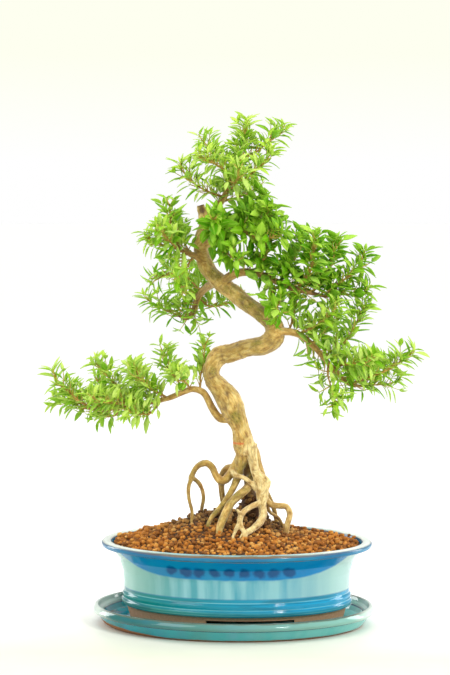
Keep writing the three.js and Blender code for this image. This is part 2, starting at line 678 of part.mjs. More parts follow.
// The capsules that a shoot's leaves and stems fill, to keep the leafy twigs off one another.
function leafCapsule( leaf ) {

	const [ nearest, furthest ] = LEAF_CLEAR_STRETCH;
	const from = leaf.root.clone().addScaledVector( leaf.out, nearest * leaf.length );
	const to = leaf.root.clone().addScaledVector( leaf.out, furthest * leaf.length );
	to.addScaledVector( leaf.upper, - LEAF_DROOP * leaf.length );
	return { from, to, radius: LEAF_CLEAR_WIDTH * leaf.width };

}

function stemCapsules( start, shoot ) {

	let from = start;
	return shoot.flatMap( ( knot ) => {

		const own = { from, to: knot.place, radius: STEM_RADIUS };
		from = knot.place;
		return [ own, ...( knot.sideShoot ? stemCapsules( knot.place, knot.sideShoot ) : [] ) ];

	} );

}

function routeCapsules( route ) {

	return route.slice( 1 ).map( ( [ x, y, z, radius ], i ) => ( {
		from: new THREE.Vector3( ...route[ i ].slice( 0, 3 ) ),
		to: new THREE.Vector3( x, y, z ),
		radius: Math.max( radius, route[ i ][ 3 ] ),
	} ) );

}

// Whether two capsules come closer than the gap, from samples along the first.
function capsulesMeet( a, b ) {

	const reach = a.radius + b.radius + GAP;
	const line = new THREE.Line3( b.from, b.to );
	const sample = new THREE.Vector3();
	const nearest = new THREE.Vector3();

	for ( let i = 0; i <= CAPSULE_SAMPLES; i ++ ) {

		sample.lerpVectors( a.from, a.to, i / CAPSULE_SAMPLES );
		line.closestPointToPoint( sample, true, nearest );
		if ( sample.distanceTo( nearest ) < reach ) return true;

	}

	return false;

}

// Leaves out each leaf that would touch the wood, or a leaf or stem of another twig.
function thinLeaves( sprays ) {

	const wood = [ trunkRoute, stubRoute, ...Object.values( branchRoutes ) ].flatMap( routeCapsules );

	for ( const spray of sprays ) {

		const feet = spray.foot.slice( 1 ).map( ( to, i ) => ( {
			from: spray.foot[ i ], to, radius: TWIG_RADII[ 0 ],
		} ) );
		spray.capsules = [ ...feet, ...stemCapsules( spray.foot[ spray.foot.length - 1 ], spray.shoot ) ];

	}

	for ( const spray of sprays ) {

		const others = sprays.filter( ( other ) => other !== spray ).flatMap( ( other ) => other.capsules );
		const knots = spray.shoot.flatMap( ( knot ) => [ knot, ...( knot.sideShoot ?? [] ) ] );
		const own = [];

		for ( const knot of knots ) {

			knot.leaves = knot.leaves.filter( ( leaf ) => {

				const capsule = leafCapsule( leaf );
				return ! [ ...wood, ...others, ...own ].some( ( other ) => capsulesMeet( capsule, other ) );

			} );
			own.push( ...knot.leaves.map( leafCapsule ) );

		}

		spray.capsules.push( ...own );

	}

}

// A body made of four-cornered rings. Corners run round the heading by the right-hand rule.
class RingBody {

	positions = [];
	faces = [];

	ring( places ) {

		return places.map( ( { x, y, z } ) => this.positions.push( x, y, z ) / 3 - 1 );

	}

	join( from, to, openSides = [] ) {

		for ( let i = 0; i < 4; i ++ ) {

			if ( openSides.includes( i ) ) continue;
			const next = ( i + 1 ) % 4;
			this.faces.push( from[ i ], from[ next ], to[ next ], from[ i ], to[ next ], to[ i ] );

		}

	}

	closeStart( [ a, b, c, d ] ) {

		this.faces.push( a, c, b, a, d, c );

	}

	closeEnd( [ a, b, c, d ] ) {

		this.faces.push( a, b, c, a, c, d );

	}

	geometry() {

		const geometry = new THREE.BufferGeometry();
		geometry.setAttribute( 'position', new THREE.Float32BufferAttribute( this.positions, 3 ) );
		geometry.setIndex( this.faces );
		return geometry;

	}

}

// The corners of a ring: half wide and half deep each way from its centre.
function ringPlaces( centre, wide, deep, halfWide, halfDeep ) {

	return [ [ 1, 1 ], [ - 1, 1 ], [ - 1, - 1 ], [ 1, - 1 ] ].map( ( [ a, b ] ) => centre.clone()
		.addScaledVector( wide, a * halfWide )
		.addScaledVector( deep, b * halfDeep ) );

}

function stemPlaces( centre, side, other, radius ) {

	return ringPlaces( centre, side, other, STEM_CORNER * radius, STEM_CORNER * radius );

}

// A blade grown out of one side of a stem joint: it widens, narrows to its tip and droops a little.
function addLeaf( body, leaf, low, high ) {

	const next = ( leaf.facet + 1 ) % 4;
	let ring = [ low[ leaf.facet ], low[ next ], high[ next ], high[ leaf.facet ] ];

	for ( const [ along, halfShare ] of LEAF_STATIONS ) {

		const centre = leaf.root.clone().addScaledVector( leaf.out, along * leaf.length );
		centre.addScaledVector( leaf.upper, - LEAF_DROOP * along * along * leaf.length );
		const half = halfShare * leaf.width;
		const [ a, b, c, d ] = ringPlaces( centre, leaf.across, leaf.upper, half, LEAF_THICKNESS / 2 );
		const following = body.ring( [ c, d, a, b ] );
		body.join( ring, following );
		ring = following;

	}

}

function addShoot( body, ring, shoot ) {

	let last = ring;

	for ( const { place, direction, side, other, leaves, sideFacet, sideShoot } of shoot ) {

		const above = place.clone().addScaledVector( direction, JOINT_HEIGHT / 2 );
		const below = place.clone().addScaledVector( direction, - JOINT_HEIGHT / 2 );
		const low = body.ring( stemPlaces( below, side, other, STEM_RADIUS ) );
		const high = body.ring( stemPlaces( above, side, other, STEM_RADIUS ) );
		body.join( last, low );
		body.join( low, high, [ ...leaves.map( ( leaf ) => leaf.facet ), sideFacet ] );

		for ( const leaf of leaves ) addLeaf( body, leaf, low, high );

		if ( sideShoot ) {

			const next = ( sideFacet + 1 ) % 4;
			addShoot( body, [ low[ sideFacet ], low[ next ], high[ next ], high[ sideFacet ] ], sideShoot );

		}

		last = high;

	}

	body.closeEnd( last );

}

// One leafy twig as a solid, its foot cut to stand just clear of the branch.
function makeSpray( { foot, shoot }, branches ) {

	const body = new RingBody();
	const heading = shoot[ 0 ].place.clone().sub( foot[ 0 ] ).normalize();
	const side = shoot[ 0 ].side.clone();
	const rings = foot.map( ( place, i ) => {

		const other = squareUp( side, heading );
		const radius = TWIG_RADII[ TWIG_RADII.length - foot.length + i ];
		return body.ring( stemPlaces( place, side, other, radius ) );

	} );
	body.closeStart( rings[ 0 ] );
	rings.slice( 1 ).forEach( ( ring, i ) => body.join( rings[ i ], ring ) );
	addShoot( body, rings[ rings.length - 1 ], shoot );
	const pieces = solid( body.geometry() ).subtract( branches ).decompose();
	return pieces.sort( ( a, b ) => b.volume() - a.volume() )[ 0 ];

}

const wood = woodAbove( 0 ).add( rootWood( 0 ) ).simplify( SLIVER );
const roomForRoots = rootWood( GAP );
const roomForBranches = woodAbove( GAP );

const bonsai = new THREE.Group();
bonsai.add( meshOf( 'drip_tray', makeTray(), tealGlaze ) );
bonsai.add( meshOf( 'pot', makePot(), blueGlaze ) );
bonsai.add( meshOf( 'drain_screen_left', makeScreen( - 1 ), screenPlastic ) );
bonsai.add( meshOf( 'drain_screen_right', makeScreen( 1 ), screenPlastic ) );
bonsai.add( meshOf( 'soil', makeSoil( roomForRoots ), bakedClay ) );
bonsai.add( meshOf( 'trunk', wood, bark ) );

const sprays = planSprays();
thinLeaves( sprays );

for ( const spray of sprays ) {

	bonsai.add( meshOf( spray.name, makeSpray( spray, roomForBranches ), greenLeaf ) );

}

export default bonsai;
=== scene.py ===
# A serissa bonsai: an S-shaped tree on exposed roots, in an oval glazed pot on its drip tray.
# Metres, +Z up. The plane of the tray's underside is z 0, X runs along the oval, and -Y is the front.

import math

import bmesh
import bpy
from mathutils import Matrix, Vector, noise
from mathutils.kdtree import KDTree


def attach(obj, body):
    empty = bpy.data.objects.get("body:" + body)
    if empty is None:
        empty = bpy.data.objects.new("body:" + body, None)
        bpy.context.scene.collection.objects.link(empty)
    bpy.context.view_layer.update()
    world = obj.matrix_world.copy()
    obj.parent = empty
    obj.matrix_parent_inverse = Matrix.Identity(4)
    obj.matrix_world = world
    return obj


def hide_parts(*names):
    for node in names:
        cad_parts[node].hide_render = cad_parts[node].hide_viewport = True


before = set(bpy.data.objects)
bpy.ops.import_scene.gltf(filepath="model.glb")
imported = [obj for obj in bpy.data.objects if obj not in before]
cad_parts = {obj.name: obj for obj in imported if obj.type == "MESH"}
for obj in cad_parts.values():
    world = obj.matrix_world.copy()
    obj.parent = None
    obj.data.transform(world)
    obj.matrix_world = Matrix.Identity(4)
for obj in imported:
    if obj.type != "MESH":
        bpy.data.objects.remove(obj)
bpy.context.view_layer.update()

MM = 0.001

# The stage. A camera two metres off, level with the upper branches, looks a little down at the tree.
# Soft white light comes from all round, with a large window at the left, a small one at the right, one
# overhead and two low ones behind that light the edges of the wood and the leaves. The shadows are soft.
EYE_DISTANCE = 2.0
EYE_HEIGHT = 0.403
EYE_TURN = math.radians(4.5)
LOOK_LEFT = math.radians(0.316)
LOOK_DOWN = math.radians(3.66)
LENS_MM = 111.9
FLOOR_RADIUS = 40.0
FLOOR_WHITE = "#FDFDFB"
# The warm grey of the painted shade towards the front of the board.
FLOOR_PAINTED_SHADE = "#D6D7C2"
SKY_WHITE = "#FFFFFF"
SKY_WARM = "#FEFFF0"
ROOM_LIGHT = 0.78


def linear(colour):
    """An sRGB hex colour as linear red, green, blue and alpha."""
    parts = [int(colour[i:i + 2], 16) / 255 for i in (1, 3, 5)]
    curved = [p / 12.92 if p <= 0.04045 else ((p + 0.055) / 1.055) ** 2.4 for p in parts]
    return (*curved, 1.0)


def set_shades(ramp, shades):
    """Sets a colour ramp's stops, each a place from 0 to 1 and a hex colour."""
    while len(ramp.elements) < len(shades):
        ramp.elements.new(0.5)
    for element, (place, colour) in zip(ramp.elements, shades):
        element.position = place
        element.color = linear(colour)


def add_node(tree, kind, inputs=None, shades=None, **settings):
    """Adds a shader node with its settings. An input is a value, a hex colour, a socket or a node."""
    node = tree.nodes.new("ShaderNode" + kind)
    for name, value in settings.items():
        setattr(node, name, value)
    if shades:
        set_shades(node.color_ramp, shades)
    for name, value in (inputs or {}).items():
        if isinstance(value, bpy.types.Node):
            value = value.outputs[0]
        if isinstance(value, bpy.types.NodeSocket):
            tree.links.new(value, node.inputs[name])
        else:
            node.inputs[name].default_value = linear(value) if isinstance(value, str) else value
    return node


def layered(tree, colour, *layers):
    """A colour with others laid over it in turn, each by its share: (share, colour)."""
    for share, over in layers:
        laid = add_node(tree, "Mix", {"Factor": share, 6: colour, 7: over}, data_type="RGBA")
        colour = laid.outputs[2]
    return colour


def new_material(name):
    """A new material, and its node tree, still empty."""
    material = bpy.data.materials.new(name)
    material.use_nodes = True
    material.node_tree.nodes.clear()
    return material, material.node_tree


def show(name, mesh_data, materials, smooth=True):
    """Puts a finished bmesh into the scene as an object at the origin."""
    data = bpy.data.meshes.new(name)
    mesh_data.to_mesh(data)
    mesh_data.free()
    for material in materials:
        data.materials.append(material)
    for polygon in data.polygons:
        polygon.use_smooth = smooth
    piece = bpy.data.objects.new(name, data)
    bpy.context.scene.collection.objects.link(piece)
    return piece


camera_data = bpy.data.cameras.new("camera")
camera_data.sensor_fit = "VERTICAL"
camera_data.sensor_height = 36
camera_data.lens = LENS_MM
camera = bpy.data.objects.new("camera", camera_data)
camera.location = (EYE_DISTANCE * math.sin(EYE_TURN), -EYE_DISTANCE * math.cos(EYE_TURN), EYE_HEIGHT)
camera.rotation_euler = (math.pi / 2 - LOOK_DOWN, 0, EYE_TURN + LOOK_LEFT)
bpy.context.scene.collection.objects.link(camera)
bpy.context.scene.camera = camera
bpy.context.scene.view_settings.view_transform = "Standard"

# Where each window hangs, its size in metres and its power in watts.
WINDOWS = {
    "left_window": ((-1.5, -1.5, 1.5), (1.0, 1.4), 15),
    "right_window": ((0.87, -1.19, 1.03), (0.24, 0.28), 13),
    "left_rim_light": ((-1.6, 0.8, 0.6), (0.5, 1.1), 12),
    "right_rim_light": ((1.6, 0.7, 0.6), (0.5, 1.1), 12),
    "top_window": ((0.1, 0.3, 2.2), (1.8, 1.6), 10),
}
for name, (place, size, power) in WINDOWS.items():
    light_data = bpy.data.lights.new(name, "AREA")
    light_data.shape = "RECTANGLE"
    light_data.size, light_data.size_y = size
    light_data.energy = power
    light = bpy.data.objects.new(name, light_data)
    light.location = place
    light.rotation_euler = (Vector((0, 0, 0.2)) - Vector(place)).to_track_quat("-Z", "Y").to_euler()
    bpy.context.scene.collection.objects.link(light)

sky_light = bpy.data.lights.new("bright_ceiling", "SUN")
sky_light.energy = 1.0
sky_light.angle = math.radians(60)
ceiling = bpy.data.objects.new("bright_ceiling", sky_light)
bpy.context.scene.collection.objects.link(ceiling)

world = bpy.data.worlds.new("white_room")
world.use_nodes = True
tree = world.node_tree
sky = tree.nodes["Background"]
looking = add_node(tree, "TexCoord").outputs["Generated"]
sky_up = add_node(tree, "SeparateXYZ", {"Vector": looking}).outputs["Z"]
high_up = add_node(tree, "MapRange", {"Value": sky_up, "From Min": 0.02, "From Max": 0.07})
seen = add_node(tree, "LightPath").outputs["Is Camera Ray"]
warmth = add_node(tree, "Math", {0: high_up, 1: seen}, operation="MULTIPLY")
tree.links.new(layered(tree, SKY_WHITE, (warmth, SKY_WARM)), sky.inputs["Color"])
strength = add_node(tree, "MapRange", {"Value": seen, "To Min": ROOM_LIGHT, "To Max": 1.0})
tree.links.new(strength.outputs["Result"], sky.inputs["Strength"])
bpy.context.scene.world = world

# White painted board: matt, with a faint warm painted shade that darkens it towards the front, clean white
# farther back.
white_board, tree = new_material("white_painted_board")
place = add_node(tree, "TexCoord").outputs["Object"]
speckle = add_node(tree, "TexNoise", {"Vector": place, "Scale": 40, "Detail": 4})
depth_in = add_node(tree, "SeparateXYZ", {"Vector": place}).outputs["Y"]
farther = add_node(tree, "MapRange", {"Value": depth_in, "From Min": -0.15, "From Max": 0.12})
uneven = add_node(tree, "Math", {0: speckle, 1: 0.1, 2: farther}, operation="MULTIPLY_ADD", use_clamp=True)
shade = layered(tree, FLOOR_PAINTED_SHADE, (uneven, FLOOR_WHITE))
board = add_node(tree, "BsdfPrincipled", {"Base Color": shade, "Roughness": 0.45})
add_node(tree, "OutputMaterial", {"Surface": board})
floor_mesh = bmesh.new()
bmesh.ops.create_circle(floor_mesh, cap_ends=True, segments=96, radius=FLOOR_RADIUS)
floor = show("floor", floor_mesh, [white_board], smooth=False)

# The drip tray: oval stoneware, thrown thin with a raised rim, a band below it and a ledge inside.
# Teal glaze covers it all but the underside, where bare clay shows. The pot stands in it.
OVAL_NARROWER = 30 * MM
OVAL_CORE = 60 * MM
OVAL_STEPS = 168
TRAY_RIM = 135.6
TRAY_FOOT = 122
TRAY_HEIGHT = 19
TRAY_FLOOR = 6
TRAY_OFFSET = -3 * MM
CORNER_STEPS = 3


def half_width(r):
    """The half width of the oval whose half length is r."""
    if r > OVAL_CORE:
        return r - OVAL_NARROWER
    return r * (OVAL_CORE - OVAL_NARROWER) / OVAL_CORE


def throw_oval(profile, rounding):
    """An oval body spun from a profile of [half length, height] in millimetres, with rounded corners."""
    body = bmesh.new()
    corners = [body.verts.new((r * MM, 0, z * MM)) for r, z in profile]
    for first, second in zip(corners, corners[1:]):
        body.edges.new((first, second))
    bmesh.ops.bevel(
        body, geom=corners[1:-1], offset=rounding * MM, offset_type="OFFSET", segments=CORNER_STEPS,
        profile=0.5, affect="VERTICES", material=-1, clamp_overlap=True,
    )
    outline = list(body.verts) + list(body.edges)
    bmesh.ops.spin(
        body, geom=outline, axis=(0, 0, 1), cent=(0, 0, 0), steps=OVAL_STEPS,
        angle=math.tau, use_merge=True, use_duplicate=False,
    )
    bmesh.ops.remove_doubles(body, verts=body.verts, dist=0.005 * MM)
    for vertex in body.verts:
        r = math.hypot(vertex.co.x, vertex.co.y)
        if r > 0:
            vertex.co.y *= half_width(r) / r
    bmesh.ops.recalc_face_normals(body, faces=body.faces)
    return body


def height_band(tree, position_z, low, high):
    """0 below low and 1 above high, in millimetres of height, smooth between."""
    limits = {"Value": position_z, "From Min": low * MM, "From Max": high * MM}
    return add_node(tree, "MapRange", limits, interpolation_type="SMOOTHSTEP")


def glaze_line(tree, position_z, low, high, soft):
    """1 between two heights in millimetres, fading at both ends."""
    rising = height_band(tree, position_z, low, low + soft)
    falling = height_band(tree, position_z, high, high - soft)
    return add_node(tree, "Math", {0: rising, 1: falling}, operation="MULTIPLY")


def glaze_relief(tree, place):
    """The faint orange peel of a thick glaze, about 3 mm across."""
    peel = add_node(tree, "TexNoise", {"Vector": place, "Scale": 330, "Detail": 1})
    slow = add_node(tree, "TexNoise", {"Vector": place, "Scale": 45, "Detail": 2})
    height = add_node(tree, "Math", {0: slow, 1: 6.0, 2: peel}, operation="MULTIPLY_ADD")
    return add_node(tree, "Bump", {"Height": height, "Strength": 0.22, "Distance": 0.0002})


# Teal glaze on stoneware: wet gloss, brown where it breaks over the rim's edge, with streaks where it ran.
# Both ends of the upper band are painted pale, a painted reflection, and a dark line of painted shade runs
# along the step under the rim band.
teal_glaze, tree = new_material("teal_glazed_stoneware")
place = add_node(tree, "TexCoord").outputs["Object"]
split = add_node(tree, "SeparateXYZ", {"Vector": place}).outputs
streaks = add_node(tree, "Mapping", {"Vector": place, "Scale": (60, 60, 9)})
runs = add_node(tree, "TexNoise", {"Vector": streaks, "Scale": 1, "Detail": 3})
cloud = add_node(tree, "TexNoise", {"Vector": place, "Scale": 22, "Detail": 3})
cloudy = add_node(tree, "MapRange", {"Value": cloud, "From Min": 0.4, "From Max": 0.62})
rightward = add_node(tree, "MapRange", {"Value": split["X"], "From Min": -0.09, "From Max": 0.13})
deep = layered(tree, "#0A8288", (cloudy, "#1484A8"), (rightward, "#7CC6BE"))
pale = layered(tree, "#17625F", (cloudy, "#196474"), (rightward, "#7FB0A2"))
broken = add_node(tree, "MapRange", {"Value": runs, "From Min": 0.35, "From Max": 0.65})
upper_band = height_band(tree, split["Z"], TRAY_HEIGHT - 8.2, TRAY_HEIGHT - 7.0)
wavy = add_node(tree, "Math", {0: runs, 1: 2.2 * MM, 2: split["Z"]}, operation="MULTIPLY_ADD")
rim_break = height_band(tree, wavy, TRAY_HEIGHT - 0.6, TRAY_HEIGHT + 0.6)
# A dark line of painted shade along the step under the rim band.
painted_shade_line = glaze_line(tree, split["Z"], TRAY_HEIGHT - 8.6, TRAY_HEIGHT - 6.9, 0.6)
from_middle = add_node(tree, "Math", {0: split["X"]}, operation="ABSOLUTE")
# Both ends of the upper band are painted pale: a painted reflection.
at_end = add_node(
    tree, "MapRange", {"Value": from_middle, "From Min": 0.112, "From Max": 0.13, "To Max": 0.75},
    interpolation_type="SMOOTHSTEP",
)
painted_end_reflection = add_node(tree, "Math", {0: at_end, 1: upper_band}, operation="MULTIPLY")
leftward = add_node(
    tree, "MapRange", {"Value": split["X"], "From Min": -0.06, "From Max": -0.13, "To Max": 5 * MM},
)
bare_edge = add_node(tree, "Math", {0: wavy, 1: leftward}, operation="SUBTRACT")
bare = height_band(tree, bare_edge, 3.4, 2.2)
teal = layered(
    tree, deep, (broken, layered(tree, "#1A94A0", (rightward, "#66B8B2"))), (upper_band, pale),
    (rim_break, "#4F6152"), (painted_shade_line, "#0F4A66"), (painted_end_reflection, "#DCE8DC"), (bare, "#8E5E38"),
)
gloss = add_node(tree, "MapRange", {"Value": bare, "To Min": 0.04, "To Max": 0.85})
glazed = add_node(
    tree, "BsdfPrincipled",
    {"Base Color": teal, "Roughness": gloss, "IOR": 1.48, "Normal": glaze_relief(tree, place)},
)
add_node(tree, "OutputMaterial", {"Surface": glazed})

tray_mesh = throw_oval([
    (0, 0), (TRAY_FOOT - 4, 0), (TRAY_FOOT, 0), (TRAY_FOOT + 4, 2.5), (TRAY_RIM - 4, TRAY_HEIGHT - 8),
    (TRAY_RIM - 1.4, TRAY_HEIGHT - 7.4), (TRAY_RIM - 0.1, TRAY_HEIGHT - 5.6), (TRAY_RIM, TRAY_HEIGHT - 4),
    (TRAY_RIM - 2.4, TRAY_HEIGHT - 0.2), (TRAY_RIM - 5, TRAY_HEIGHT), (TRAY_RIM - 6.4, TRAY_HEIGHT - 4),
    (TRAY_RIM - 9, TRAY_HEIGHT - 5.8), (TRAY_FOOT + 0.5, TRAY_FLOOR), (0, TRAY_FLOOR),
], 1.1)
bmesh.ops.translate(tray_mesh, vec=(TRAY_OFFSET, 0, 0), verts=tray_mesh.verts)
tray = show("glazed_drip_tray", tray_mesh, [teal_glaze])
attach(tray, "root")
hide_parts("drip_tray")

# The pot: oval stoneware with a broad flared lip, a wall that hollows in and two steps low down. Cobalt
# glaze runs from the lip and stops above the bare clay foot ring, which is set in and has a gap cut in it
# at the front and the back. Two round holes in the floor let the water out.
POT_LIP = 130.5
POT_LIP_INSIDE = 121
POT_BODY = 109.5
POT_FOOT = 102.5
POT_HEIGHT = 75
FOOT_RING_WIDTH = 9.5
POT_BASE = TRAY_FLOOR + 0.3
POT_UNDERSIDE = POT_BASE + 11
POT_INNER_FLOOR = POT_UNDERSIDE + 7
FOOT_GAP = (82, 18, 9.7)
DRAIN_RADIUS = 10
DRAIN_OFFSET = 45
DAB_SPACING = 13.7
DAB_START = -54.9
DAB_COUNT = 9
# Lines along the rings, painted highlights on the crests (the pale ones) and painted shade in the grooves
# (the dark ones): from and to, in millimetres up the pot, share and colour.
RING_HIGHLIGHTS_AND_SHADES = [
    (26.3, 27.5, 0.6, "#8CCCD2"), (24.9, 25.9, 0.55, "#0A5A78"), (19.6, 20.8, 0.5, "#7CC4C6"),
    (18.3, 19.3, 0.5, "#0C5C70"), (29.4, 31.2, 0.45, "#0878A0"), (15.0, 16.2, 0.4, "#86C2B4"),
]


def cut_away(piece, cutter_mesh):
    """Cuts a closed shape out of a piece and keeps the result as the piece's own mesh."""
    cutter = show("cutter", cutter_mesh, [])
    cut = piece.modifiers.new("cut", "BOOLEAN")
    cut.object = cutter
    cut.solver = "EXACT"
    graph = bpy.context.evaluated_depsgraph_get()
    cut_mesh = bpy.data.meshes.new_from_object(piece.evaluated_get(graph))
    piece.modifiers.clear()
    piece.data = cut_mesh
    bpy.data.objects.remove(cutter)


# Cobalt glaze on stoneware: glassy, deep blue at the top and milky blue where it thins down the wall,
# partly the glaze's own colour and partly painted reflection. The edge between them sags in the middle, a
# painted reflection of the tray's rim, and the milky blue is partly a painted reflection of the white
# floor. The lip's top is painted pale as a reflection, and towards both ends of the oval it and the milky
# wall are painted paler still. Painted highlights run along the crests of the rings and painted shade
# darkens the grooves between them. Brown where it breaks over the lip's edge. Nine dabs of thicker glaze
# under the lip ran down a little.
cobalt_glaze, tree = new_material("cobalt_glazed_stoneware")
place = add_node(tree, "TexCoord").outputs["Object"]
split = add_node(tree, "SeparateXYZ", {"Vector": place}).outputs
streaks = add_node(tree, "Mapping", {"Vector": place, "Scale": (85, 85, 7)})
runs = add_node(tree, "TexNoise", {"Vector": streaks, "Scale": 1, "Detail": 4})
cloud = add_node(tree, "TexNoise", {"Vector": place, "Scale": 18, "Detail": 3})
across_pot = add_node(tree, "Math", {0: split["X"], 1: 1 / 0.12}, operation="MULTIPLY")
towards_end = add_node(tree, "Math", {0: across_pot}, operation="ABSOLUTE")
# How near a point is to the ends of the oval, where the milky wall and the lip's top are painted paler: a
# painted reflection.
ends = add_node(
    tree, "MapRange", {"Value": towards_end, "From Min": 0.3, "From Max": 0.9},
    interpolation_type="SMOOTHSTEP",
)
# The edge between the deep blue and the milky blue sags in the middle and rises to both ends: a painted
# reflection of the tray's rim.
bend = add_node(tree, "Math", {0: towards_end, 1: 5.2}, operation="POWER")
reflection_edge_height = add_node(tree, "Math", {0: bend, 1: -31 * MM, 2: split["Z"]}, operation="MULTIPLY_ADD")
wavy = add_node(tree, "Math", {0: runs, 1: 2.5 * MM, 2: reflection_edge_height}, operation="MULTIPLY_ADD")
sideways = add_node(tree, "MapRange", {"Value": split["X"], "From Min": -0.08, "From Max": 0.06})
cloudy = add_node(tree, "MapRange", {"Value": cloud, "From Min": 0.38, "From Max": 0.62})
# Deep blue above that edge: partly the glaze and partly painted reflection.
deep_glaze_and_reflection = layered(tree, "#128CB0", (sideways, "#0082C0"), (cloudy, "#007AB8"))
low_glaze = layered(tree, "#0E8280", (sideways, "#0C94BE"))
dab_place = add_node(
    tree, "Math", {0: split["X"], 1: 1 / (DAB_SPACING * MM), 2: -DAB_START / DAB_SPACING + 0.5},
    operation="MULTIPLY_ADD",
)
column = add_node(tree, "Math", {0: dab_place, 1: 2 * math.pi}, operation="MULTIPLY")
column = add_node(tree, "Math", {0: column}, operation="COSINE")
below_dabs = add_node(tree, "Math", {0: column, 1: -0.07, 2: runs}, operation="MULTIPLY_ADD")
drip_share = add_node(tree, "MapRange", {"Value": below_dabs, "From Min": 0.38, "From Max": 0.66})
# Milky blue below it: partly the glaze and partly a painted reflection of the white floor.
milky_glaze_and_reflection = layered(
    tree, "#4E9EA2", (sideways, "#4A9CB8"), (drip_share, "#86BEC6"),
    (ends, layered(tree, "#8CBCB0", (sideways, "#A0C6C2"))),
)
above = height_band(tree, wavy, POT_BASE + 48.8, POT_BASE + 51)
above_rings = height_band(tree, split["Z"], POT_BASE + 31, POT_BASE + 29.5)
greener = height_band(tree, split["Z"], POT_BASE + 19, POT_BASE + 17.5)
# Painted highlights on the ring crests and painted shade in the grooves.
ring_highlights_and_shades = []
for low, high, share, line_colour in RING_HIGHLIGHTS_AND_SHADES:
    line = glaze_line(tree, split["Z"], POT_BASE + low, POT_BASE + high, 0.5)
    line = add_node(tree, "Math", {0: line, 1: share}, operation="MULTIPLY")
    ring_highlights_and_shades.append((line, line_colour))
smudge = add_node(tree, "Mapping", {"Vector": place, "Scale": (16, 16, 160)})
smudges = add_node(tree, "TexNoise", {"Vector": smudge, "Scale": 1, "Detail": 4})
smudged = add_node(tree, "MapRange", {"Value": smudges, "From Min": 0.52, "From Max": 0.62, "To Max": 0.55})
smudged = add_node(tree, "Math", {0: smudged, 1: above_rings}, operation="MULTIPLY")
lip_face = height_band(tree, split["Z"], POT_BASE + 66.5, POT_BASE + 67.5)
# The lip's top is painted pale: a painted reflection.
lip_top_reflection = height_band(tree, split["Z"], POT_BASE + 73.2, POT_BASE + 74)

dab_wave = add_node(tree, "Math", {0: dab_place}, operation="FRACT")
from_middle = add_node(tree, "Math", {0: dab_wave, 1: 0.5}, operation="SUBTRACT")
dab_across = add_node(tree, "Math", {0: from_middle, 1: 2.9}, operation="MULTIPLY")
dab_up = add_node(
    tree, "MapRange",
    {"Value": split["Z"], "From Min": (POT_BASE + 55.8) * MM, "From Max": (POT_BASE + 59.8) * MM},
    clamp=False,
)
dab_offset = add_node(tree, "CombineXYZ", {"X": dab_across, "Y": dab_up})
dab_round = add_node(tree, "VectorMath", {0: dab_offset}, operation="LENGTH").outputs["Value"]
blots = add_node(tree, "TexNoise", {"Vector": place, "Scale": 130, "Detail": 2})
dab_distance = add_node(tree, "Math", {0: blots, 1: 1.6, 2: dab_round}, operation="MULTIPLY_ADD")
dab_distance = add_node(tree, "Math", {0: dab_distance, 1: 0.8}, operation="SUBTRACT")
dab = add_node(
    tree, "MapRange", {"Value": dab_distance, "From Min": 1.6, "From Max": 0.7},
    interpolation_type="SMOOTHSTEP",
)
in_row_from = add_node(tree, "Math", {0: dab_place, 1: 0.0}, operation="GREATER_THAN")
in_row_to = add_node(tree, "Math", {0: dab_place, 1: float(DAB_COUNT)}, operation="LESS_THAN")
in_row = add_node(tree, "Math", {0: in_row_from, 1: in_row_to}, operation="MULTIPLY")
dab = add_node(tree, "Math", {0: dab, 1: in_row}, operation="MULTIPLY")
dab = add_node(tree, "Math", {0: dab, 1: 0.9}, operation="MULTIPLY")

lip_noise = add_node(tree, "TexNoise", {"Vector": place, "Scale": 55, "Detail": 3})
lip_height = add_node(tree, "Math", {0: lip_noise, 1: 1.6 * MM, 2: split["Z"]}, operation="MULTIPLY_ADD")
lip_up = height_band(tree, lip_height, POT_BASE + 72.4, POT_BASE + 73.4)
lip_down = height_band(tree, lip_height, POT_BASE + 75.4, POT_BASE + 74.6)
lip_line = add_node(tree, "Math", {0: lip_up, 1: lip_down}, operation="MULTIPLY")
# The brown line fades towards both ends, under the painted reflection there.
fade_towards_bright_ends = add_node(tree, "MapRange", {"Value": ends, "To Min": 0.95, "To Max": 0.35})
lip_line = add_node(tree, "Math", {0: lip_line, 1: fade_towards_bright_ends}, operation="MULTIPLY")
edge_line = glaze_line(tree, lip_height, POT_BASE + 67.4, POT_BASE + 69.6, 0.6)
bare = height_band(tree, lip_height, POT_BASE + 14.6, POT_BASE + 13.9)
clay_grit = add_node(tree, "TexNoise", {"Vector": place, "Scale": 500, "Detail": 4})
raw_clay = layered(tree, "#A87450", (clay_grit, "#D4A280"))
blue = layered(
    tree, milky_glaze_and_reflection, (above, deep_glaze_and_reflection), (above_rings, low_glaze),
    (greener, layered(tree, "#3F8F80", (sideways, "#2A8CA6"))), *ring_highlights_and_shades, (smudged, "#14606E"),
    (lip_face, layered(tree, "#1A7CA4", (cloudy, "#0C6694"))),
    (lip_top_reflection, layered(tree, "#86B2B6", (ends, "#D4DED4"))), (dab, "#00447C"), (lip_line, "#6A5434"),
    (edge_line, "#6A6450"), (bare, raw_clay),
)
gloss = add_node(tree, "MapRange", {"Value": bare, "To Min": 0.03, "To Max": 0.85})
glazed = add_node(
    tree, "BsdfPrincipled",
    {"Base Color": blue, "Roughness": gloss, "IOR": 1.4, "Normal": glaze_relief(tree, place)},
)
add_node(tree, "OutputMaterial", {"Surface": glazed})

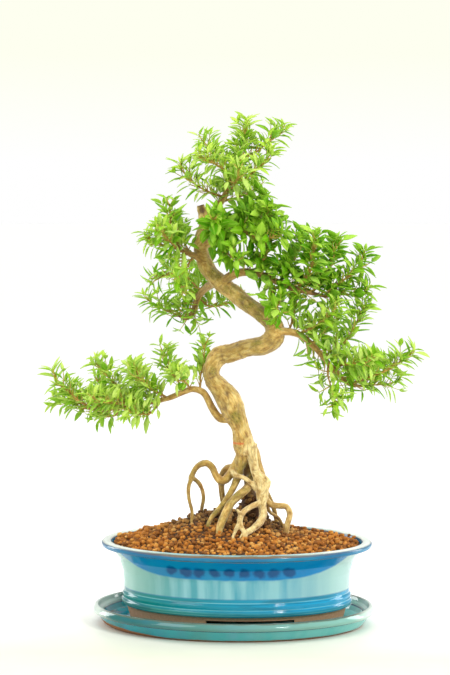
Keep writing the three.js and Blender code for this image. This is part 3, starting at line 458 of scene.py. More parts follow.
pot_mesh = throw_oval([
    (0, POT_UNDERSIDE), (POT_FOOT - FOOT_RING_WIDTH - 1.5, POT_UNDERSIDE),
    (POT_FOOT - FOOT_RING_WIDTH, POT_BASE), (POT_FOOT, POT_BASE), (POT_FOOT + 3.5, POT_BASE + 12.6),
    (POT_BODY + 0.8, POT_BASE + 13.9), (POT_BODY + 1.5, POT_BASE + 18.2), (POT_BODY - 0.2, POT_BASE + 19.8),
    (POT_BODY + 0.7, POT_BASE + 24.4), (POT_BODY - 0.9, POT_BASE + 26), (POT_BODY - 0.7, POT_BASE + 36),
    (POT_BODY + 0.3, POT_BASE + 46), (POT_BODY + 4, POT_BASE + 58),
    (POT_LIP - 9, POT_BASE + 67.5), (POT_LIP - 1, POT_BASE + 68.8), (POT_LIP, POT_BASE + 72.5),
    (POT_LIP - 2.6, POT_BASE + 74.6), (POT_LIP - 5, POT_BASE + POT_HEIGHT),
    (POT_LIP_INSIDE, POT_BASE + POT_HEIGHT - 0.8), (POT_LIP_INSIDE - 1.5, POT_BASE + POT_HEIGHT - 6),
    (POT_BODY - 3.5, POT_BASE + 50), (POT_BODY - 9, POT_BASE + 24), (POT_BODY - 14, POT_INNER_FLOOR),
    (0, POT_INNER_FLOOR),
], 1.3)
pot = show("glazed_pot", pot_mesh, [cobalt_glaze])
gap_length, gap_centre, gap_height = FOOT_GAP
gap_mesh = bmesh.new()
bmesh.ops.create_cube(gap_mesh, size=1)
gap_size = (gap_length * MM, 2 * POT_LIP * MM, 2 * gap_height * MM)
bmesh.ops.scale(gap_mesh, vec=gap_size, verts=gap_mesh.verts)
bmesh.ops.translate(gap_mesh, vec=(gap_centre * MM, 0, POT_BASE * MM), verts=gap_mesh.verts)
cut_away(pot, gap_mesh)
for side in (-1, 1):
    hole_mesh = bmesh.new()
    bmesh.ops.create_cone(
        hole_mesh, cap_ends=True, segments=48, radius1=DRAIN_RADIUS * MM, radius2=DRAIN_RADIUS * MM,
        depth=30 * MM,
    )
    place = (side * DRAIN_OFFSET * MM, 0, POT_UNDERSIDE * MM)
    bmesh.ops.translate(hole_mesh, vec=place, verts=hole_mesh.verts)
    cut_away(pot, hole_mesh)
for polygon in pot.data.polygons:
    polygon.use_smooth = True
pot.data.set_sharp_from_angle(angle=math.radians(50))
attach(pot, "root")
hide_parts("pot")

# The drain screens: squares of moulded black polyethylene mesh, one over each drain hole, held down by
# the soil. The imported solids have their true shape, so only their finish is set here.
black_mesh, tree = new_material("moulded_black_polyethylene")
place = add_node(tree, "TexCoord").outputs["Object"]
grit = add_node(tree, "TexNoise", {"Vector": place, "Scale": 1800, "Detail": 2})
black = layered(tree, "#15171A", (grit, "#2E3236"))
dull = add_node(tree, "MapRange", {"Value": grit, "To Min": 0.45, "To Max": 0.75})
plastic = add_node(tree, "BsdfPrincipled", {"Base Color": black, "Roughness": dull})
add_node(tree, "OutputMaterial", {"Surface": plastic})
for side in ("left", "right"):
    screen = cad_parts["drain_screen_" + side]
    screen.data.materials.clear()
    screen.data.materials.append(black_mesh)

# The soil: baked clay granules (akadama), 3 to 5 mm across, heaped round the roots. They are dry and
# orange-brown at the front and damp and dark on the mound. The solid below them carries one close layer
# of loose granules and some more that lie on it.
SOIL_EDGE = 76.5
SOIL_HALF_LENGTH = 117.5
SOIL_HALF_WIDTH = 87.5
MOUND_HEIGHT = 29
MOUND_CENTRE = (-14, 8)
MOUND_SPREAD = (44, 42)
HEAP_CENTRE = (13, 13)
HEAP_TOP = 121
HEAP_TOP_RADIUS = 7
HEAP_SLOPE = 31 / 13
HEAP_FOOT_RADIUS = 20
GRAIN_SPACING = 4.7
GRAIN_SIZES = (2.7, 4.3)
GRAIN_SHAPES = 9
GRAIN_UNEVENNESS = 0.34
GRAIN_ROWS = range(-20, 21)
GRAIN_COLUMNS = range(-26, 27)
GRAIN_STRAY = 1.6
LOOSE_GRAINS_IN_A_ROW = 11
LOOSE_LIFT = 3.2
DAMP_CENTRE = (-8, 18)
DAMP_SPREAD = (72, 46)
GRAIN_SEED = 41


class Draw:
    """A seeded run of draws between 0 and 1."""

    def __init__(self, seed):
        self.state = seed

    def __call__(self):
        self.state = (self.state * 1664525 + 1013904223) % 4294967296
        return self.state / 4294967296

    def between(self, low, high):
        return low + (high - low) * self()


def soil_height(x, y):
    """The height of the soil's surface in millimetres."""
    dx = (x - MOUND_CENTRE[0]) / MOUND_SPREAD[0]
    dy = (y - MOUND_CENTRE[1]) / MOUND_SPREAD[1]
    mound = SOIL_EDGE + MOUND_HEIGHT * math.exp(-(dx * dx + dy * dy) / 2)
    from_heap = math.hypot(x - HEAP_CENTRE[0], y - HEAP_CENTRE[1])
    return max(mound, HEAP_TOP - HEAP_SLOPE * max(0, from_heap - HEAP_TOP_RADIUS))


def damp_share(x, y):
    """How damp and dark the soil is: 0 near the wall at the front, 1 on the mound and behind it."""
    dx = (x - DAMP_CENTRE[0]) / DAMP_SPREAD[0]
    dy = (y - DAMP_CENTRE[1]) / DAMP_SPREAD[1]
    return min(1.0, 1.15 * math.exp(-(dx * dx + dy * dy) ** 2))


# Baked clay granules: matt and crumbly, orange-brown when dry and dark brown when damp, each a little
# different, with flecks of pale dust.
baked_clay, tree = new_material("baked_clay_granules")
place = add_node(tree, "TexCoord").outputs["Object"]
tint = add_node(tree, "Attribute", attribute_name="tint").outputs["Fac"]
damp = add_node(tree, "Attribute", attribute_name="damp").outputs["Fac"]
CLAY_SHADES = [(0.0, "#6C3E0C"), (0.3, "#985A14"), (0.62, "#B87222"), (0.86, "#CC8830"), (1.0, "#DAA656")]
DAMP_SHADES = [(0.0, "#442C14"), (0.35, "#6E4C24"), (0.7, "#8E6A34"), (1.0, "#B0905C")]
dry_clay = add_node(tree, "ValToRGB", {"Fac": tint}, CLAY_SHADES)
damp_clay = add_node(tree, "ValToRGB", {"Fac": tint}, DAMP_SHADES)
crumb = add_node(tree, "TexNoise", {"Vector": place, "Scale": 900, "Detail": 4, "Roughness": 0.7})
dust = add_node(tree, "MapRange", {"Value": crumb, "From Min": 0.5, "From Max": 0.75, "To Max": 0.3})
clay = layered(tree, dry_clay, (damp, damp_clay), (dust, "#BC8442"))
clay_bump = add_node(tree, "Bump", {"Height": crumb, "Strength": 0.8, "Distance": 0.0006})
fired = add_node(tree, "BsdfPrincipled", {"Base Color": clay, "Roughness": 0.92, "Normal": clay_bump})
add_node(tree, "OutputMaterial", {"Surface": fired})

# Between the granules the soil bed is painted dark brown with broken grains: painted shade for the gaps.
shaded_clay, tree = new_material("painted_shade_clay_crumbs")
place = add_node(tree, "TexCoord").outputs["Object"]
crumbs = add_node(tree, "TexNoise", {"Vector": place, "Scale": 420, "Detail": 4})
shade = layered(tree, "#1E120A", (crumbs, "#5A3A1E"))
shade_bump = add_node(tree, "Bump", {"Height": crumbs, "Strength": 0.8, "Distance": 0.001})
shaded = add_node(tree, "BsdfPrincipled", {"Base Color": shade, "Roughness": 0.95, "Normal": shade_bump})
add_node(tree, "OutputMaterial", {"Surface": shaded})

# The solid under the granules wears the painted shade.
soil_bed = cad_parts["soil"]
soil_bed.data.materials.clear()
soil_bed.data.materials.append(shaded_clay)

draw = Draw(GRAIN_SEED)
grain_kit = bmesh.new()
for name in ("tint", "damp"):
    grain_kit.verts.layers.float.new(name)
for _ in range(GRAIN_SHAPES):
    known = set(grain_kit.verts)
    lump = bmesh.ops.create_cube(grain_kit, size=1.25)["verts"]
    edges = list({edge for vertex in lump for edge in vertex.link_edges})
    bmesh.ops.bevel(
        grain_kit, geom=edges, offset=0.3, segments=1, profile=0.5, affect="EDGES", material=-1,
    )
    for vertex in [vertex for vertex in grain_kit.verts if vertex not in known]:
        vertex.co *= 1 + GRAIN_UNEVENNESS * (draw() - 0.5)
grain_data = bpy.data.meshes.new("grain_kit")
grain_kit.to_mesh(grain_data)
grain_kit.free()


def lay_grain(heap, shapes, x, y, lift):
    """Lays one granule on the soil at x, y, in millimetres, turned at random."""
    size = draw.between(*GRAIN_SIZES) * draw.between(0.75, 1)
    shape = shapes[int(draw() * GRAIN_SHAPES)]
    copy = bmesh.ops.duplicate(heap, geom=shape)["geom"]
    new_verts = [item for item in copy if isinstance(item, bmesh.types.BMVert)]
    turn = Matrix.Rotation(math.tau * draw(), 4, "Z") @ Matrix.Rotation(math.tau * draw(), 4, "X")
    stretch = Matrix.Diagonal((1, draw.between(0.7, 1), draw.between(0.6, 0.9), 1))
    spot = Vector((x, y, soil_height(x, y) + lift)) * MM
    matrix = Matrix.Translation(spot) @ turn @ stretch @ Matrix.Scale(size * MM, 4)
    bmesh.ops.transform(heap, matrix=matrix, verts=new_verts)
    tint = draw()
    damp = min(1, max(0, damp_share(x, y) + 0.5 * (draw() - 0.5)))
    for vertex in new_verts:
        vertex[heap.verts.layers.float["tint"]] = tint
        vertex[heap.verts.layers.float["damp"]] = damp


def inside_soil(x, y):
    """Whether a granule at x, y lies inside the pot's wall."""
    return (x / SOIL_HALF_LENGTH) ** 2 + (y / SOIL_HALF_WIDTH) ** 2 < 1


row_spacing = GRAIN_SPACING * math.sqrt(3) / 2
grain_rows = []
for row in GRAIN_ROWS:
    spots = []
    for column in GRAIN_COLUMNS:
        x = (column + 0.5 * (row % 2)) * GRAIN_SPACING + draw.between(-GRAIN_STRAY, GRAIN_STRAY)
        y = row * row_spacing + draw.between(-GRAIN_STRAY, GRAIN_STRAY)
        spots.append((x, y, draw.between(-0.4, 1.2)))
        if math.hypot(x - HEAP_CENTRE[0], y - HEAP_CENTRE[1]) < HEAP_FOOT_RADIUS:
            spots.append((x + 1.7, y + 1.4, draw.between(-3, -1)))
    for _ in range(LOOSE_GRAINS_IN_A_ROW):
        x = draw.between(-SOIL_HALF_LENGTH, SOIL_HALF_LENGTH)
        y = row * row_spacing + draw.between(-2, 2)
        spots.append((x, y, LOOSE_LIFT))
    grain_rows.append([spot for spot in spots if inside_soil(*spot[:2])])

grains = bmesh.new()
for spots in grain_rows:
    heap = bmesh.new()
    heap.from_mesh(grain_data)
    count = len(heap.verts) // GRAIN_SHAPES
    corners = list(heap.verts)
    shapes = []
    for first in range(0, len(corners), count):
        lump = corners[first:first + count]
        shapes.append(lump + list({face for vertex in lump for face in vertex.link_faces}))
    for x, y, lift in spots:
        lay_grain(heap, shapes, x, y, lift)
    bmesh.ops.delete(heap, geom=corners)
    row_data = bpy.data.meshes.new("row")
    heap.to_mesh(row_data)
    heap.free()
    grains.from_mesh(row_data)
    bpy.data.meshes.remove(row_data)
bpy.data.meshes.remove(grain_data)
soil_grains = show("clay_granules", grains, [baked_clay])
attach(soil_grains, "root")

# The wood: one grown body of serissa, its roots bared and its branches bent over years into place. Each
# limb is grown along its route, all are fused into one skin, and the skin is raised into flaking ridges
# that follow the limbs. The routes are x, y, z and radius in millimetres, from the thick end out.
TRUNK = [
    (9.5, 0, 163, 10), (7, 0, 173, 10.4), (4, 0, 188, 8.2), (-3, 1, 204, 11.2), (-8, 2, 215, 12),
    (-16, 4, 226, 9.8), (-24, 6, 236, 8), (-24, 8, 247, 8.2), (-17, 8, 257, 9.2),
    (-5, 5, 260, 8.6), (10, 1, 265, 8.2), (26, -3, 268, 9.2), (36, -6, 276, 10),
    (36, -7, 287, 9), (27, -5, 296, 7.9), (15, -2, 304, 7.5), (0, 1, 315, 8),
    (-14, 4, 326, 8), (-27, 5, 339, 7.3), (-33, 4, 352, 6.9), (-35, 3, 365, 6.7),
    (-31, 2, 378, 6.2), (-28, 1, 388, 4.6),
]

ROOTS = {
    "crown": [(7, 0, 168, 8), (4.6, -1, 157, 6.4), (3.2, -2, 147, 3.2)],
    "heart": [(12, 8, 160, 8), (12, 11, 146, 7), (12, 12, 130, 5.5), (12, 13, 100, 4.5)],
    "leftArch": [
        (6, 0, 165, 5.8), (-0.5, 2, 153, 4.6), (-6.5, 2, 143, 4.1), (-13, 0.5, 136.8, 3.9),
        (-18.5, 0, 140.5, 3.6), (-23.5, 1, 150, 3.4), (-29, 2, 154, 3.3), (-35, 3.5, 152.5, 3),
        (-40, 4, 148, 2.7), (-43.5, 2, 139.5, 2.4), (-46, -2, 130.5, 2), (-45, -6, 119, 1.8),
        (-42, -8, 107, 1.8), (-43, -10, 92, 1.7),
    ],
    "leftFork": [
        (-43, 2, 140, 2.2), (-36.5, 9, 132.5, 2.1), (-33, 13, 120, 1.8), (-35, 15, 107, 1.8),
        (-37, 16, 90, 1.6),
    ],
    "leftDrop": [(-14.5, 1, 137, 2.8), (-14, 8, 125, 2), (-13, 13, 110, 1.8), (-13, 14, 92, 1.6)],
    "back": [
        (5, 8, 157, 4.6), (-4, 18, 149, 3.6), (-13, 24, 145, 3.1), (-18, 31, 136, 2.6),
        (-18, 35, 124, 2.3), (-14, 39, 92, 2),
    ],
    "frontLeft": [
        (3, 0, 147, 4.2), (-1, -4, 135, 3.6), (-5.4, -10.5, 126.4, 3), (-13.6, -17, 114.5, 2.5),
        (-23.4, -24, 102.8, 2.2), (-28, -29, 84, 1.8),
    ],
    "mainFront": [
        (13, 6, 142, 3.6), (12.5, -4, 134, 4), (5.2, -13.6, 127, 4), (-3.7, -22.4, 118.6, 4.1),
        (-8.5, -30.8, 108.7, 4.2), (-12.3, -38, 98.7, 3.6), (-15, -44, 76, 2.8),
    ],
    "cross": [
        (-3, -1, 146.5, 3), (-0.8, -7, 143.5, 2.5), (7.3, -10.5, 141.6, 2.4),
        (14.5, -11, 137, 2.3), (19.5, -9.6, 130, 2.3),
    ],
    "right": [
        (13.9, -2, 173, 6), (15.5, -5.8, 162.5, 4.9), (17.4, -7.6, 152, 4.4),
        (21.2, -9.3, 141, 4.7), (23.3, -10.2, 130, 4.4), (24.8, -12.5, 119, 4.2),
        (27, -18, 109, 4), (24.5, -25.5, 101.5, 3.7), (18, -33.5, 96, 3.2), (9.5, -42, 91, 2.6),
        (4, -47, 76, 2.2),
    ],
    "elbow": [
        (20, -9, 147, 3), (26, -8, 142, 3.2), (31.5, -9, 137.5, 2.6), (29, -11, 132, 3),
        (28, -13, 124, 3.2), (26, -17, 116, 3),
    ],
    "rightBack": [
        (12, 2, 174, 5), (18.2, 4, 164, 3.8), (21, 5, 152, 3.6), (24.5, 6, 141, 3.6),
        (27, 3, 131, 3.4), (27, -2, 121, 2.9),
    ],
    "loop": [
        (25.8, -12, 118.5, 3.2), (20.7, -18.4, 117.5, 2.9), (14, -25, 115, 2.8),
        (8.2, -31.5, 110.6, 2.9), (6.1, -35.6, 105, 2.9), (7, -38.6, 99.8, 2.6),
        (11.4, -42.2, 92, 2), (14, -47, 76, 1.6),
    ],
    "spur": [(7, -33.5, 108.5, 2), (3, -35, 115, 1.3)],
    "loopFoot": [(6.2, -36, 104, 2.2), (0.5, -44, 90.5, 1.8), (-2, -49, 74, 1.6)],
    "rightArch": [
        (25, -1, 125, 3.8), (32, 1, 115, 3.2), (40, 4, 113, 3), (48, 5, 112, 2.9),
        (51, 3, 106, 3.1), (49, -3, 96, 2.9), (46, -7, 76, 2.4),
    ],
    "rightThin": [(26, 2, 120, 2.5), (31, 9, 107, 1.9), (40, 14, 99, 1.6), (48, 17, 80, 1.4)],
    "backRight": [
        (14, 8, 158, 4.4), (18, 20, 140, 3.4), (27, 28, 122, 2.8), (34, 34, 106, 2.4), (38, 38, 80, 1.9),
    ],
}

BRANCHES = {
    "lowLeft": [
        (-6, 2, 197, 4.4), (-16, 4, 197, 4), (-24, 5, 207, 3.6), (-32, 6, 221, 3.3),
        (-42, 4, 225, 3.1),
        (-52, 0, 222, 2.9), (-65, -6, 217, 2.7), (-82, -10, 213, 2.4), (-107, -6, 209, 2.1),
        (-129, 0, 204, 1.7), (-148, 6, 206, 1.3),
    ],
    "midRight": [
        (-14, 2, 328, 4.6), (2, -8, 337, 3.9), (20, -16, 337, 3.5), (43, -22, 328, 3.1),
        (59, -24, 322, 2.6), (74, -19, 318, 2), (88, -14, 315, 1.5),
    ],
    "lowRight": [
        (34, -7, 280, 5), (48, -14, 282, 3.7), (61, -14, 279, 3.2), (74, -12, 268, 2.9),
        (92, -8, 247, 2.5), (107, -4, 232, 2), (119, 0, 229, 1.5),
    ],
    "backLeft": [
        (-17, 6, 330, 4.6), (-32, 28, 321, 3.6), (-42, 44, 310, 3.1), (-47, 52, 296, 2.8),
        (-54, 56, 290, 2.2), (-62, 58, 293, 1.6),
    ],
    "upLeft": [(-33, 3, 350, 4.2), (-44, -7, 355, 2.8), (-54, -12, 359, 1.7)],
    "upMid": [(-33, 2, 362, 4.2), (-18, -14, 369, 3.2), (-4, -24, 375, 2.5), (8, -28, 381, 1.6)],
    "leader": [
        (-29, 1, 384, 4.6), (-21, 0, 396, 3.8), (-12, -2, 409, 2.9), (-6, -4, 423, 2.3),
        (-1, -2, 436, 1.8), (3, 0, 446, 1.4),
    ],
}

STUB = [(-30, 1, 380, 5.4), (-32, 2, 391, 4.9), (-35, 3, 402, 4)]
STATION_STEP = 3
TRUNK_SIDES = 24
LIMB_SIDES = 14
BARK_OFFSET = 0.37
WOOD_VOXEL = 0.85 * MM
RIDGE_LENGTH = 17
FLAKE_WIDTH = 1.7
FLAKE_LENGTH = 4.5

# How each kind of wood differs: ridge height and ridge width in millimetres, then how olive with algae,
# how red and twiggy and how pale the bark is, and how dark it is with damp; for the heart root, deep in the
# hollow under the crown, that dark is painted shade.
WOOD_KINDS = {
    "trunk": (0.65, 4.2, 0.45, 0.0, 0.2, 0.0),
    "crown": (0.4, 3.4, 1.0, 0.0, 0.1, 0.0),
    "pale_root": (0.35, 3.4, 0.1, 0.0, 0.85, 0.0),
    "brown_root": (0.35, 3.0, 0.55, 0.3, 0.0, 0.1),
    "olive_root": (0.35, 3.0, 1.0, 0.05, 0.1, 0.05),
    "tan_root": (0.35, 3.0, 0.15, 0.3, 0.3, 0.05),
    # The heart root's dark is painted shade.
    "heart": (0.5, 3.0, 0.2, 0.3, 0.0, 0.95),
    "branch": (0.3, 2.6, 0.25, 0.45, 0.1, 0.0),
    "thin_branch": (0.25, 2.2, 0.1, 0.9, 0.0, 0.25),
}
ROOT_KINDS = {
    "crown": "crown", "heart": "heart", "leftArch": "brown_root", "leftFork": "brown_root",
    "leftDrop": "brown_root", "back": "brown_root", "frontLeft": "olive_root", "mainFront": "olive_root",
    "cross": "pale_root", "right": "pale_root", "elbow": "pale_root", "rightBack": "tan_root",
    "loop": "pale_root", "spur": "pale_root", "loopFoot": "pale_root", "rightArch": "tan_root",
    "rightThin": "tan_root", "backRight": "brown_root",
}
THIN_BRANCHES = ["midRight", "upLeft", "backLeft"]

# Knots and dents on the trunk: place, radius and height in millimetres. A dent has a height below 0.
KNOTS = [
    ((-17, -4, 222), 4.5, 1.4), ((-21, -6, 251), 4, 1.0), ((-9, -7, 222), 3.2, -0.9),
    ((39, -14, 279), 5, 1.8), ((30, -14, 292), 3, -0.9), ((-10, -8, 331), 5, 1.5),
    ((-33, -3, 357), 4, 1.2), ((11, -9, 178), 5, 1.0), ((-35, 1, 403), 6, -1.6),
    ((-33, -3, 397), 5.5, -1.5),
    ((-11, -10, 207), 3.6, -0.8), ((-26, -2, 240), 3, -0.8), ((18, -9, 303), 4, 1.2),
    ((-3, -9, 210), 4.5, 1.0), ((4, -8, 196), 3, 0.8), ((-27, -3, 231), 2.4, -0.8),
    ((-20, -4, 262), 4, 0.9), ((14, -9, 262), 3.4, 0.7), ((34, -15, 270), 3, -0.7),
    ((6, -8, 309), 3.2, -0.8), ((-24, -4, 333), 3.6, 1.1), ((-39, -2, 366), 3, 0.9),
    ((29, -11, 137), 3.2, 1.2), ((23, -15, 131), 3, 1.0), ((46, 2, 113), 3, 0.9),
    ((-45, 0, 141), 3.2, 1.3), ((-17, -3, 137), 3.4, 1.1), ((-8, -2, 147), 3, 0.9),
]
# Where algae grow on the trunk: place and radius in millimetres.
ALGAE_PATCHES = [
    ((-1, -9, 199), 9), ((30, -12, 296), 17), ((12, -8, 312), 14), ((20, -11, 268), 8), ((4, -5, 158), 10),
    ((-22, -2, 243), 6), ((-20, -4, 336), 10), ((-6, -6, 324), 11),
]
# Healed rings where wire once bit into the trunk, and the orange line of a graft.
WIRE_RINGS = [(-24, 6, 235), (-12, 6, 258), (4, 3, 263.5)]
WIRE_RING_REACH = 15
WIRE_CUT_DEPTH = 0.55
WIRE_RIM_HEIGHT = 0.25
GRAFT_HEIGHT = 174.3
# The hollow under the crown of the roots is painted dark: painted shade, strongest at its middle and on
# faces that turn towards the back.
HOLLOW_CENTRE = (10, 4, 139)
HOLLOW_REACH = 15


def centripetal(route):
    """Stations of (place, radius) along a smooth curve through a route, about 3 mm apart."""
    places = [Vector(point[:3]) for point in route]
    places = [2 * places[0] - places[1], *places, 2 * places[-1] - places[-2]]
    stations = []
    for i in range(1, len(places) - 2):
        before, start, end, after = places[i - 1:i + 3]
        first = (start - before).length ** 0.5
        middle = (end - start).length ** 0.5
        last = (after - end).length ** 0.5
        leave = (start - before) / first - (end - before) / (first + middle) + (end - start) / middle
        arrive = (end - start) / middle - (after - start) / (middle + last) + (after - end) / last
        leave *= middle / 3
        arrive *= middle / 3
        steps = max(2, round((end - start).length / STATION_STEP))
        for step in range(steps):
            t = step / steps
            place = (
                start * (1 - t) ** 3 + (start + leave) * 3 * t * (1 - t) ** 2
                + (end - arrive) * 3 * t * t * (1 - t) + end * t ** 3
            )
            radius = route[i - 1][3] * (1 - t) + route[i][3] * t
            stations.append((place * MM, radius * MM))
    stations.append((places[-2] * MM, route[-1][3] * MM))
    return stations


def grow_limb(body, stations, sides):
    """Grows a closed limb in a bmesh: a circle extruded from station to station. Returns its rings."""
    heading = (stations[1][0] - stations[0][0]).normalized()
    turn = Vector((0, 0, 1)).rotation_difference(heading).to_matrix()
    place, radius = stations[0]
    matrix = Matrix.Translation(place) @ turn.to_4x4() @ Matrix.Scale(radius, 4)
    ring = bmesh.ops.create_circle(body, cap_ends=True, segments=sides, radius=1, matrix=matrix)["verts"]
    rings = [ring]
    edges = list({edge for vertex in ring for edge in vertex.link_edges})
    for i in range(1, len(stations)):
        place, radius = stations[i]
        ahead = stations[min(i + 1, len(stations) - 1)][0] - stations[i - 1][0]
        turned = heading.rotation_difference(ahead).to_matrix()
        turn = turned @ turn
        heading = ahead.normalized()
        following = Matrix.Translation(place) @ turn.to_4x4() @ Matrix.Scale(radius, 4)
        grown = bmesh.ops.extrude_edge_only(body, edges=edges)["geom"]
        ring = [item for item in grown if isinstance(item, bmesh.types.BMVert)]
        edges = [item for item in grown if isinstance(item, bmesh.types.BMEdge)]
        edges = [edge for edge in edges if all(vertex in ring for vertex in edge.verts)]
        bmesh.ops.transform(body, matrix=following @ matrix.inverted(), verts=ring)
        matrix = following
        rings.append(ring)
    bmesh.ops.contextual_create(body, geom=edges)
    return rings


def survey(stations, kind, start):
    """Each station's directions and its distance along the limb, from which its bark is laid out."""
    surveyed = []
    side = None
    travelled = start
    for i, (place, radius) in enumerate(stations):
        heading = (stations[min(i + 1, len(stations) - 1)][0] - stations[max(i - 1, 0)][0]).normalized()
        side = side or heading.orthogonal()
        side = (side - heading * side.dot(heading)).normalized()
        travelled += (place - stations[max(i - 1, 0)][0]).length
        surveyed.append({
            "place": place, "radius": radius, "heading": heading, "side": side,
            "travelled": travelled, "kind": kind,
        })
    return surveyed


def along_grain(point, station):
    """A point told by its limb: two distances across the limb and the distance along it, in metres."""
    outward = point - station["place"]
    other = station["heading"].cross(station["side"])
    along = outward.dot(station["heading"])
    return Vector((outward.dot(station["side"]), outward.dot(other), station["travelled"] + along))


def blended_kind(near):
    """The bark's numbers where limbs meet: those of the nearest stations, the closest counting most."""
    totals = [0] * len(WOOD_KINDS["trunk"])
    share = 0
    for place, i, distance in near:
        station = wood_stations[i]
        weight = 1 / (max(0, distance - 0.6 * station["radius"]) + 0.5 * MM) ** 2
        share += weight
        totals = [total + weight * number for total, number in zip(totals, WOOD_KINDS[station["kind"]])]
    return [total / share for total in totals]


def knot_effect(point):
    """How far knots raise a point of the skin in millimetres, and how dark they leave it."""
    raised = dark = 0
    for knot, radius, height in KNOTS:
        off = (point - Vector(knot) * MM).length / (radius * MM)
        if off < 2:
            bump = math.exp(-2 * off * off)
            raised += height * bump
            dark = max(dark, min(1, -0.7 * height) * min(1, 1.8 * bump))
    for place, heading in ring_planes:
        offset = point - place
        across = abs(offset.dot(heading)) / MM
        if across < 3 and offset.length < WIRE_RING_REACH * MM:
            cut = math.exp(-across * across)
            cut *= min(1, max(0, 0.6 + 1.6 * noise.noise(point / (7 * MM))))
            raised += WIRE_RIM_HEIGHT * math.exp(-(across - 1.6) ** 2) - WIRE_CUT_DEPTH * cut
            dark = max(dark, 0.75 * cut)
    return raised, dark


limbs = [("trunk", TRUNK), ("trunk", STUB)]
limbs += [(ROOT_KINDS[name], route) for name, route in ROOTS.items()]
limbs += [("thin_branch" if name in THIN_BRANCHES else "branch", route) for name, route in BRANCHES.items()]
wood_mesh = bmesh.new()
wood_stations = []
for number, (kind, route) in enumerate(limbs):
    stations = centripetal(route)
    grow_limb(wood_mesh, stations, TRUNK_SIDES if kind == "trunk" else LIMB_SIDES)
    wood_stations += survey(stations, kind, BARK_OFFSET * number)
bmesh.ops.recalc_face_normals(wood_mesh, faces=wood_mesh.faces)
wood_tree = KDTree(len(wood_stations))
for i, station in enumerate(wood_stations):
    wood_tree.insert(station["place"], i)
wood_tree.balance()
ring_planes = []
for ring in WIRE_RINGS:
    place, i, distance = wood_tree.find(Vector(ring) * MM)
    ring_planes.append((Vector(ring) * MM, wood_stations[i]["heading"]))
wood = show("wood", wood_mesh, [])
fuse = wood.modifiers.new("fuse", "REMESH")
fuse.mode = "VOXEL"
fuse.voxel_size = WOOD_VOXEL
fuse.use_smooth_shade = True
graph = bpy.context.evaluated_depsgraph_get()
fused = bpy.data.meshes.new_from_object(wood.evaluated_get(graph))
wood.modifiers.clear()
wood.data = fused

skin = bmesh.new()
skin.from_mesh(fused)
bmesh.ops.smooth_vert(skin, verts=skin.verts, factor=0.5, use_axis_x=True, use_axis_y=True, use_axis_z=True)
BARK_LAYERS = ("fissure", "olive", "twiggy", "pale", "damp", "graft")
layer = {name: skin.verts.layers.float.new(name) for name in BARK_LAYERS}
grain_layer = skin.verts.layers.float_vector.new("grain")
skin.normal_update()
moves = []
for vertex in skin.verts:
    near = wood_tree.find_n(vertex.co, 5)
    height, width, olive, twiggy, pale, damp = blended_kind(near)
    station = wood_stations[near[0][1]]
    grain = along_grain(vertex.co, station)
    ridge_place = Vector((grain.x / width, grain.y / width, grain.z / RIDGE_LENGTH)) / MM
    ridge = min(1, abs(noise.noise(ridge_place)) * 2.2)
    flake_place = Vector((grain.x / FLAKE_WIDTH, grain.y / FLAKE_WIDTH, grain.z / FLAKE_LENGTH)) / MM
    flake = noise.noise(flake_place)
    lump = noise.noise(vertex.co / (11 * MM))
    swell = noise.noise(vertex.co / (5 * MM))
    size = min(1, station["radius"] / (6 * MM))
    raised = height * (ridge - 0.45 + 0.55 * flake) + (0.6 * lump + 0.3 * swell) * size
    knot, knot_dark = knot_effect(vertex.co)
    moves.append((vertex, vertex.normal * (raised + knot) * MM))
    # Painted shade in the hollow under the crown.
    from_hollow = (vertex.co - Vector(HOLLOW_CENTRE) * MM).length / (HOLLOW_REACH * MM)
    facing_in = max(0, min(1, vertex.normal.y + 0.5))
    for patch, reach in ALGAE_PATCHES:
        off = (vertex.co - Vector(patch) * MM).length / (reach * MM)
        olive = max(olive, 1.3 - off * off)
    graft = math.exp(-((vertex.co.z / MM - GRAFT_HEIGHT) / 0.9) ** 2) if vertex.normal.y < 0.2 else 0
    vertex[layer["fissure"]] = max(1 - ridge, knot_dark)
    vertex[layer["olive"]] = min(1, olive)
    vertex[layer["twiggy"]] = twiggy * min(1, max(0.15, 1.4 - station["radius"] / (3.6 * MM)))
    vertex[layer["pale"]] = pale
    # The damp layer holds damp, dark knots and wire cuts, and the painted shade of the hollow.
    vertex[layer["damp"]] = max(damp, max(0, 1 - from_hollow * from_hollow) * facing_in, knot_dark)
    vertex[layer["graft"]] = graft if station["kind"] in ("trunk", "crown") else 0
    vertex[grain_layer] = grain
for vertex, move in moves:
    vertex.co += move
bmesh.ops.smooth_vert(skin, verts=skin.verts, factor=0.2, use_axis_x=True, use_axis_y=True, use_axis_z=True)
bpy.data.objects.remove(wood)

# Serissa bark: thin buff flakes over tan inner bark, their edges running along the limb, clouded with
# olive algae where it is damp, cream on the bared roots and red-brown on young wood. It turns dark brown
# where damp, and in the hollow under the crown, where the dark is painted shade.
serissa_bark, tree = new_material("flaking_serissa_bark")
place = add_node(tree, "TexCoord").outputs["Object"]
bark_share = {
    name: add_node(tree, "Attribute", attribute_name=name).outputs["Fac"] for name in BARK_LAYERS
}
grain = add_node(tree, "Attribute", attribute_name="grain").outputs["Vector"]


def grain_noise(width, length, detail):
    """Noise drawn out along the limbs: how wide and how long its streaks are, in millimetres."""
    scale = (1 / (width * MM), 1 / (width * MM), 1 / (length * MM))
    drawn = add_node(tree, "Mapping", {"Vector": grain, "Scale": scale})
    return add_node(tree, "TexNoise", {"Vector": drawn, "Scale": 1, "Detail": detail})


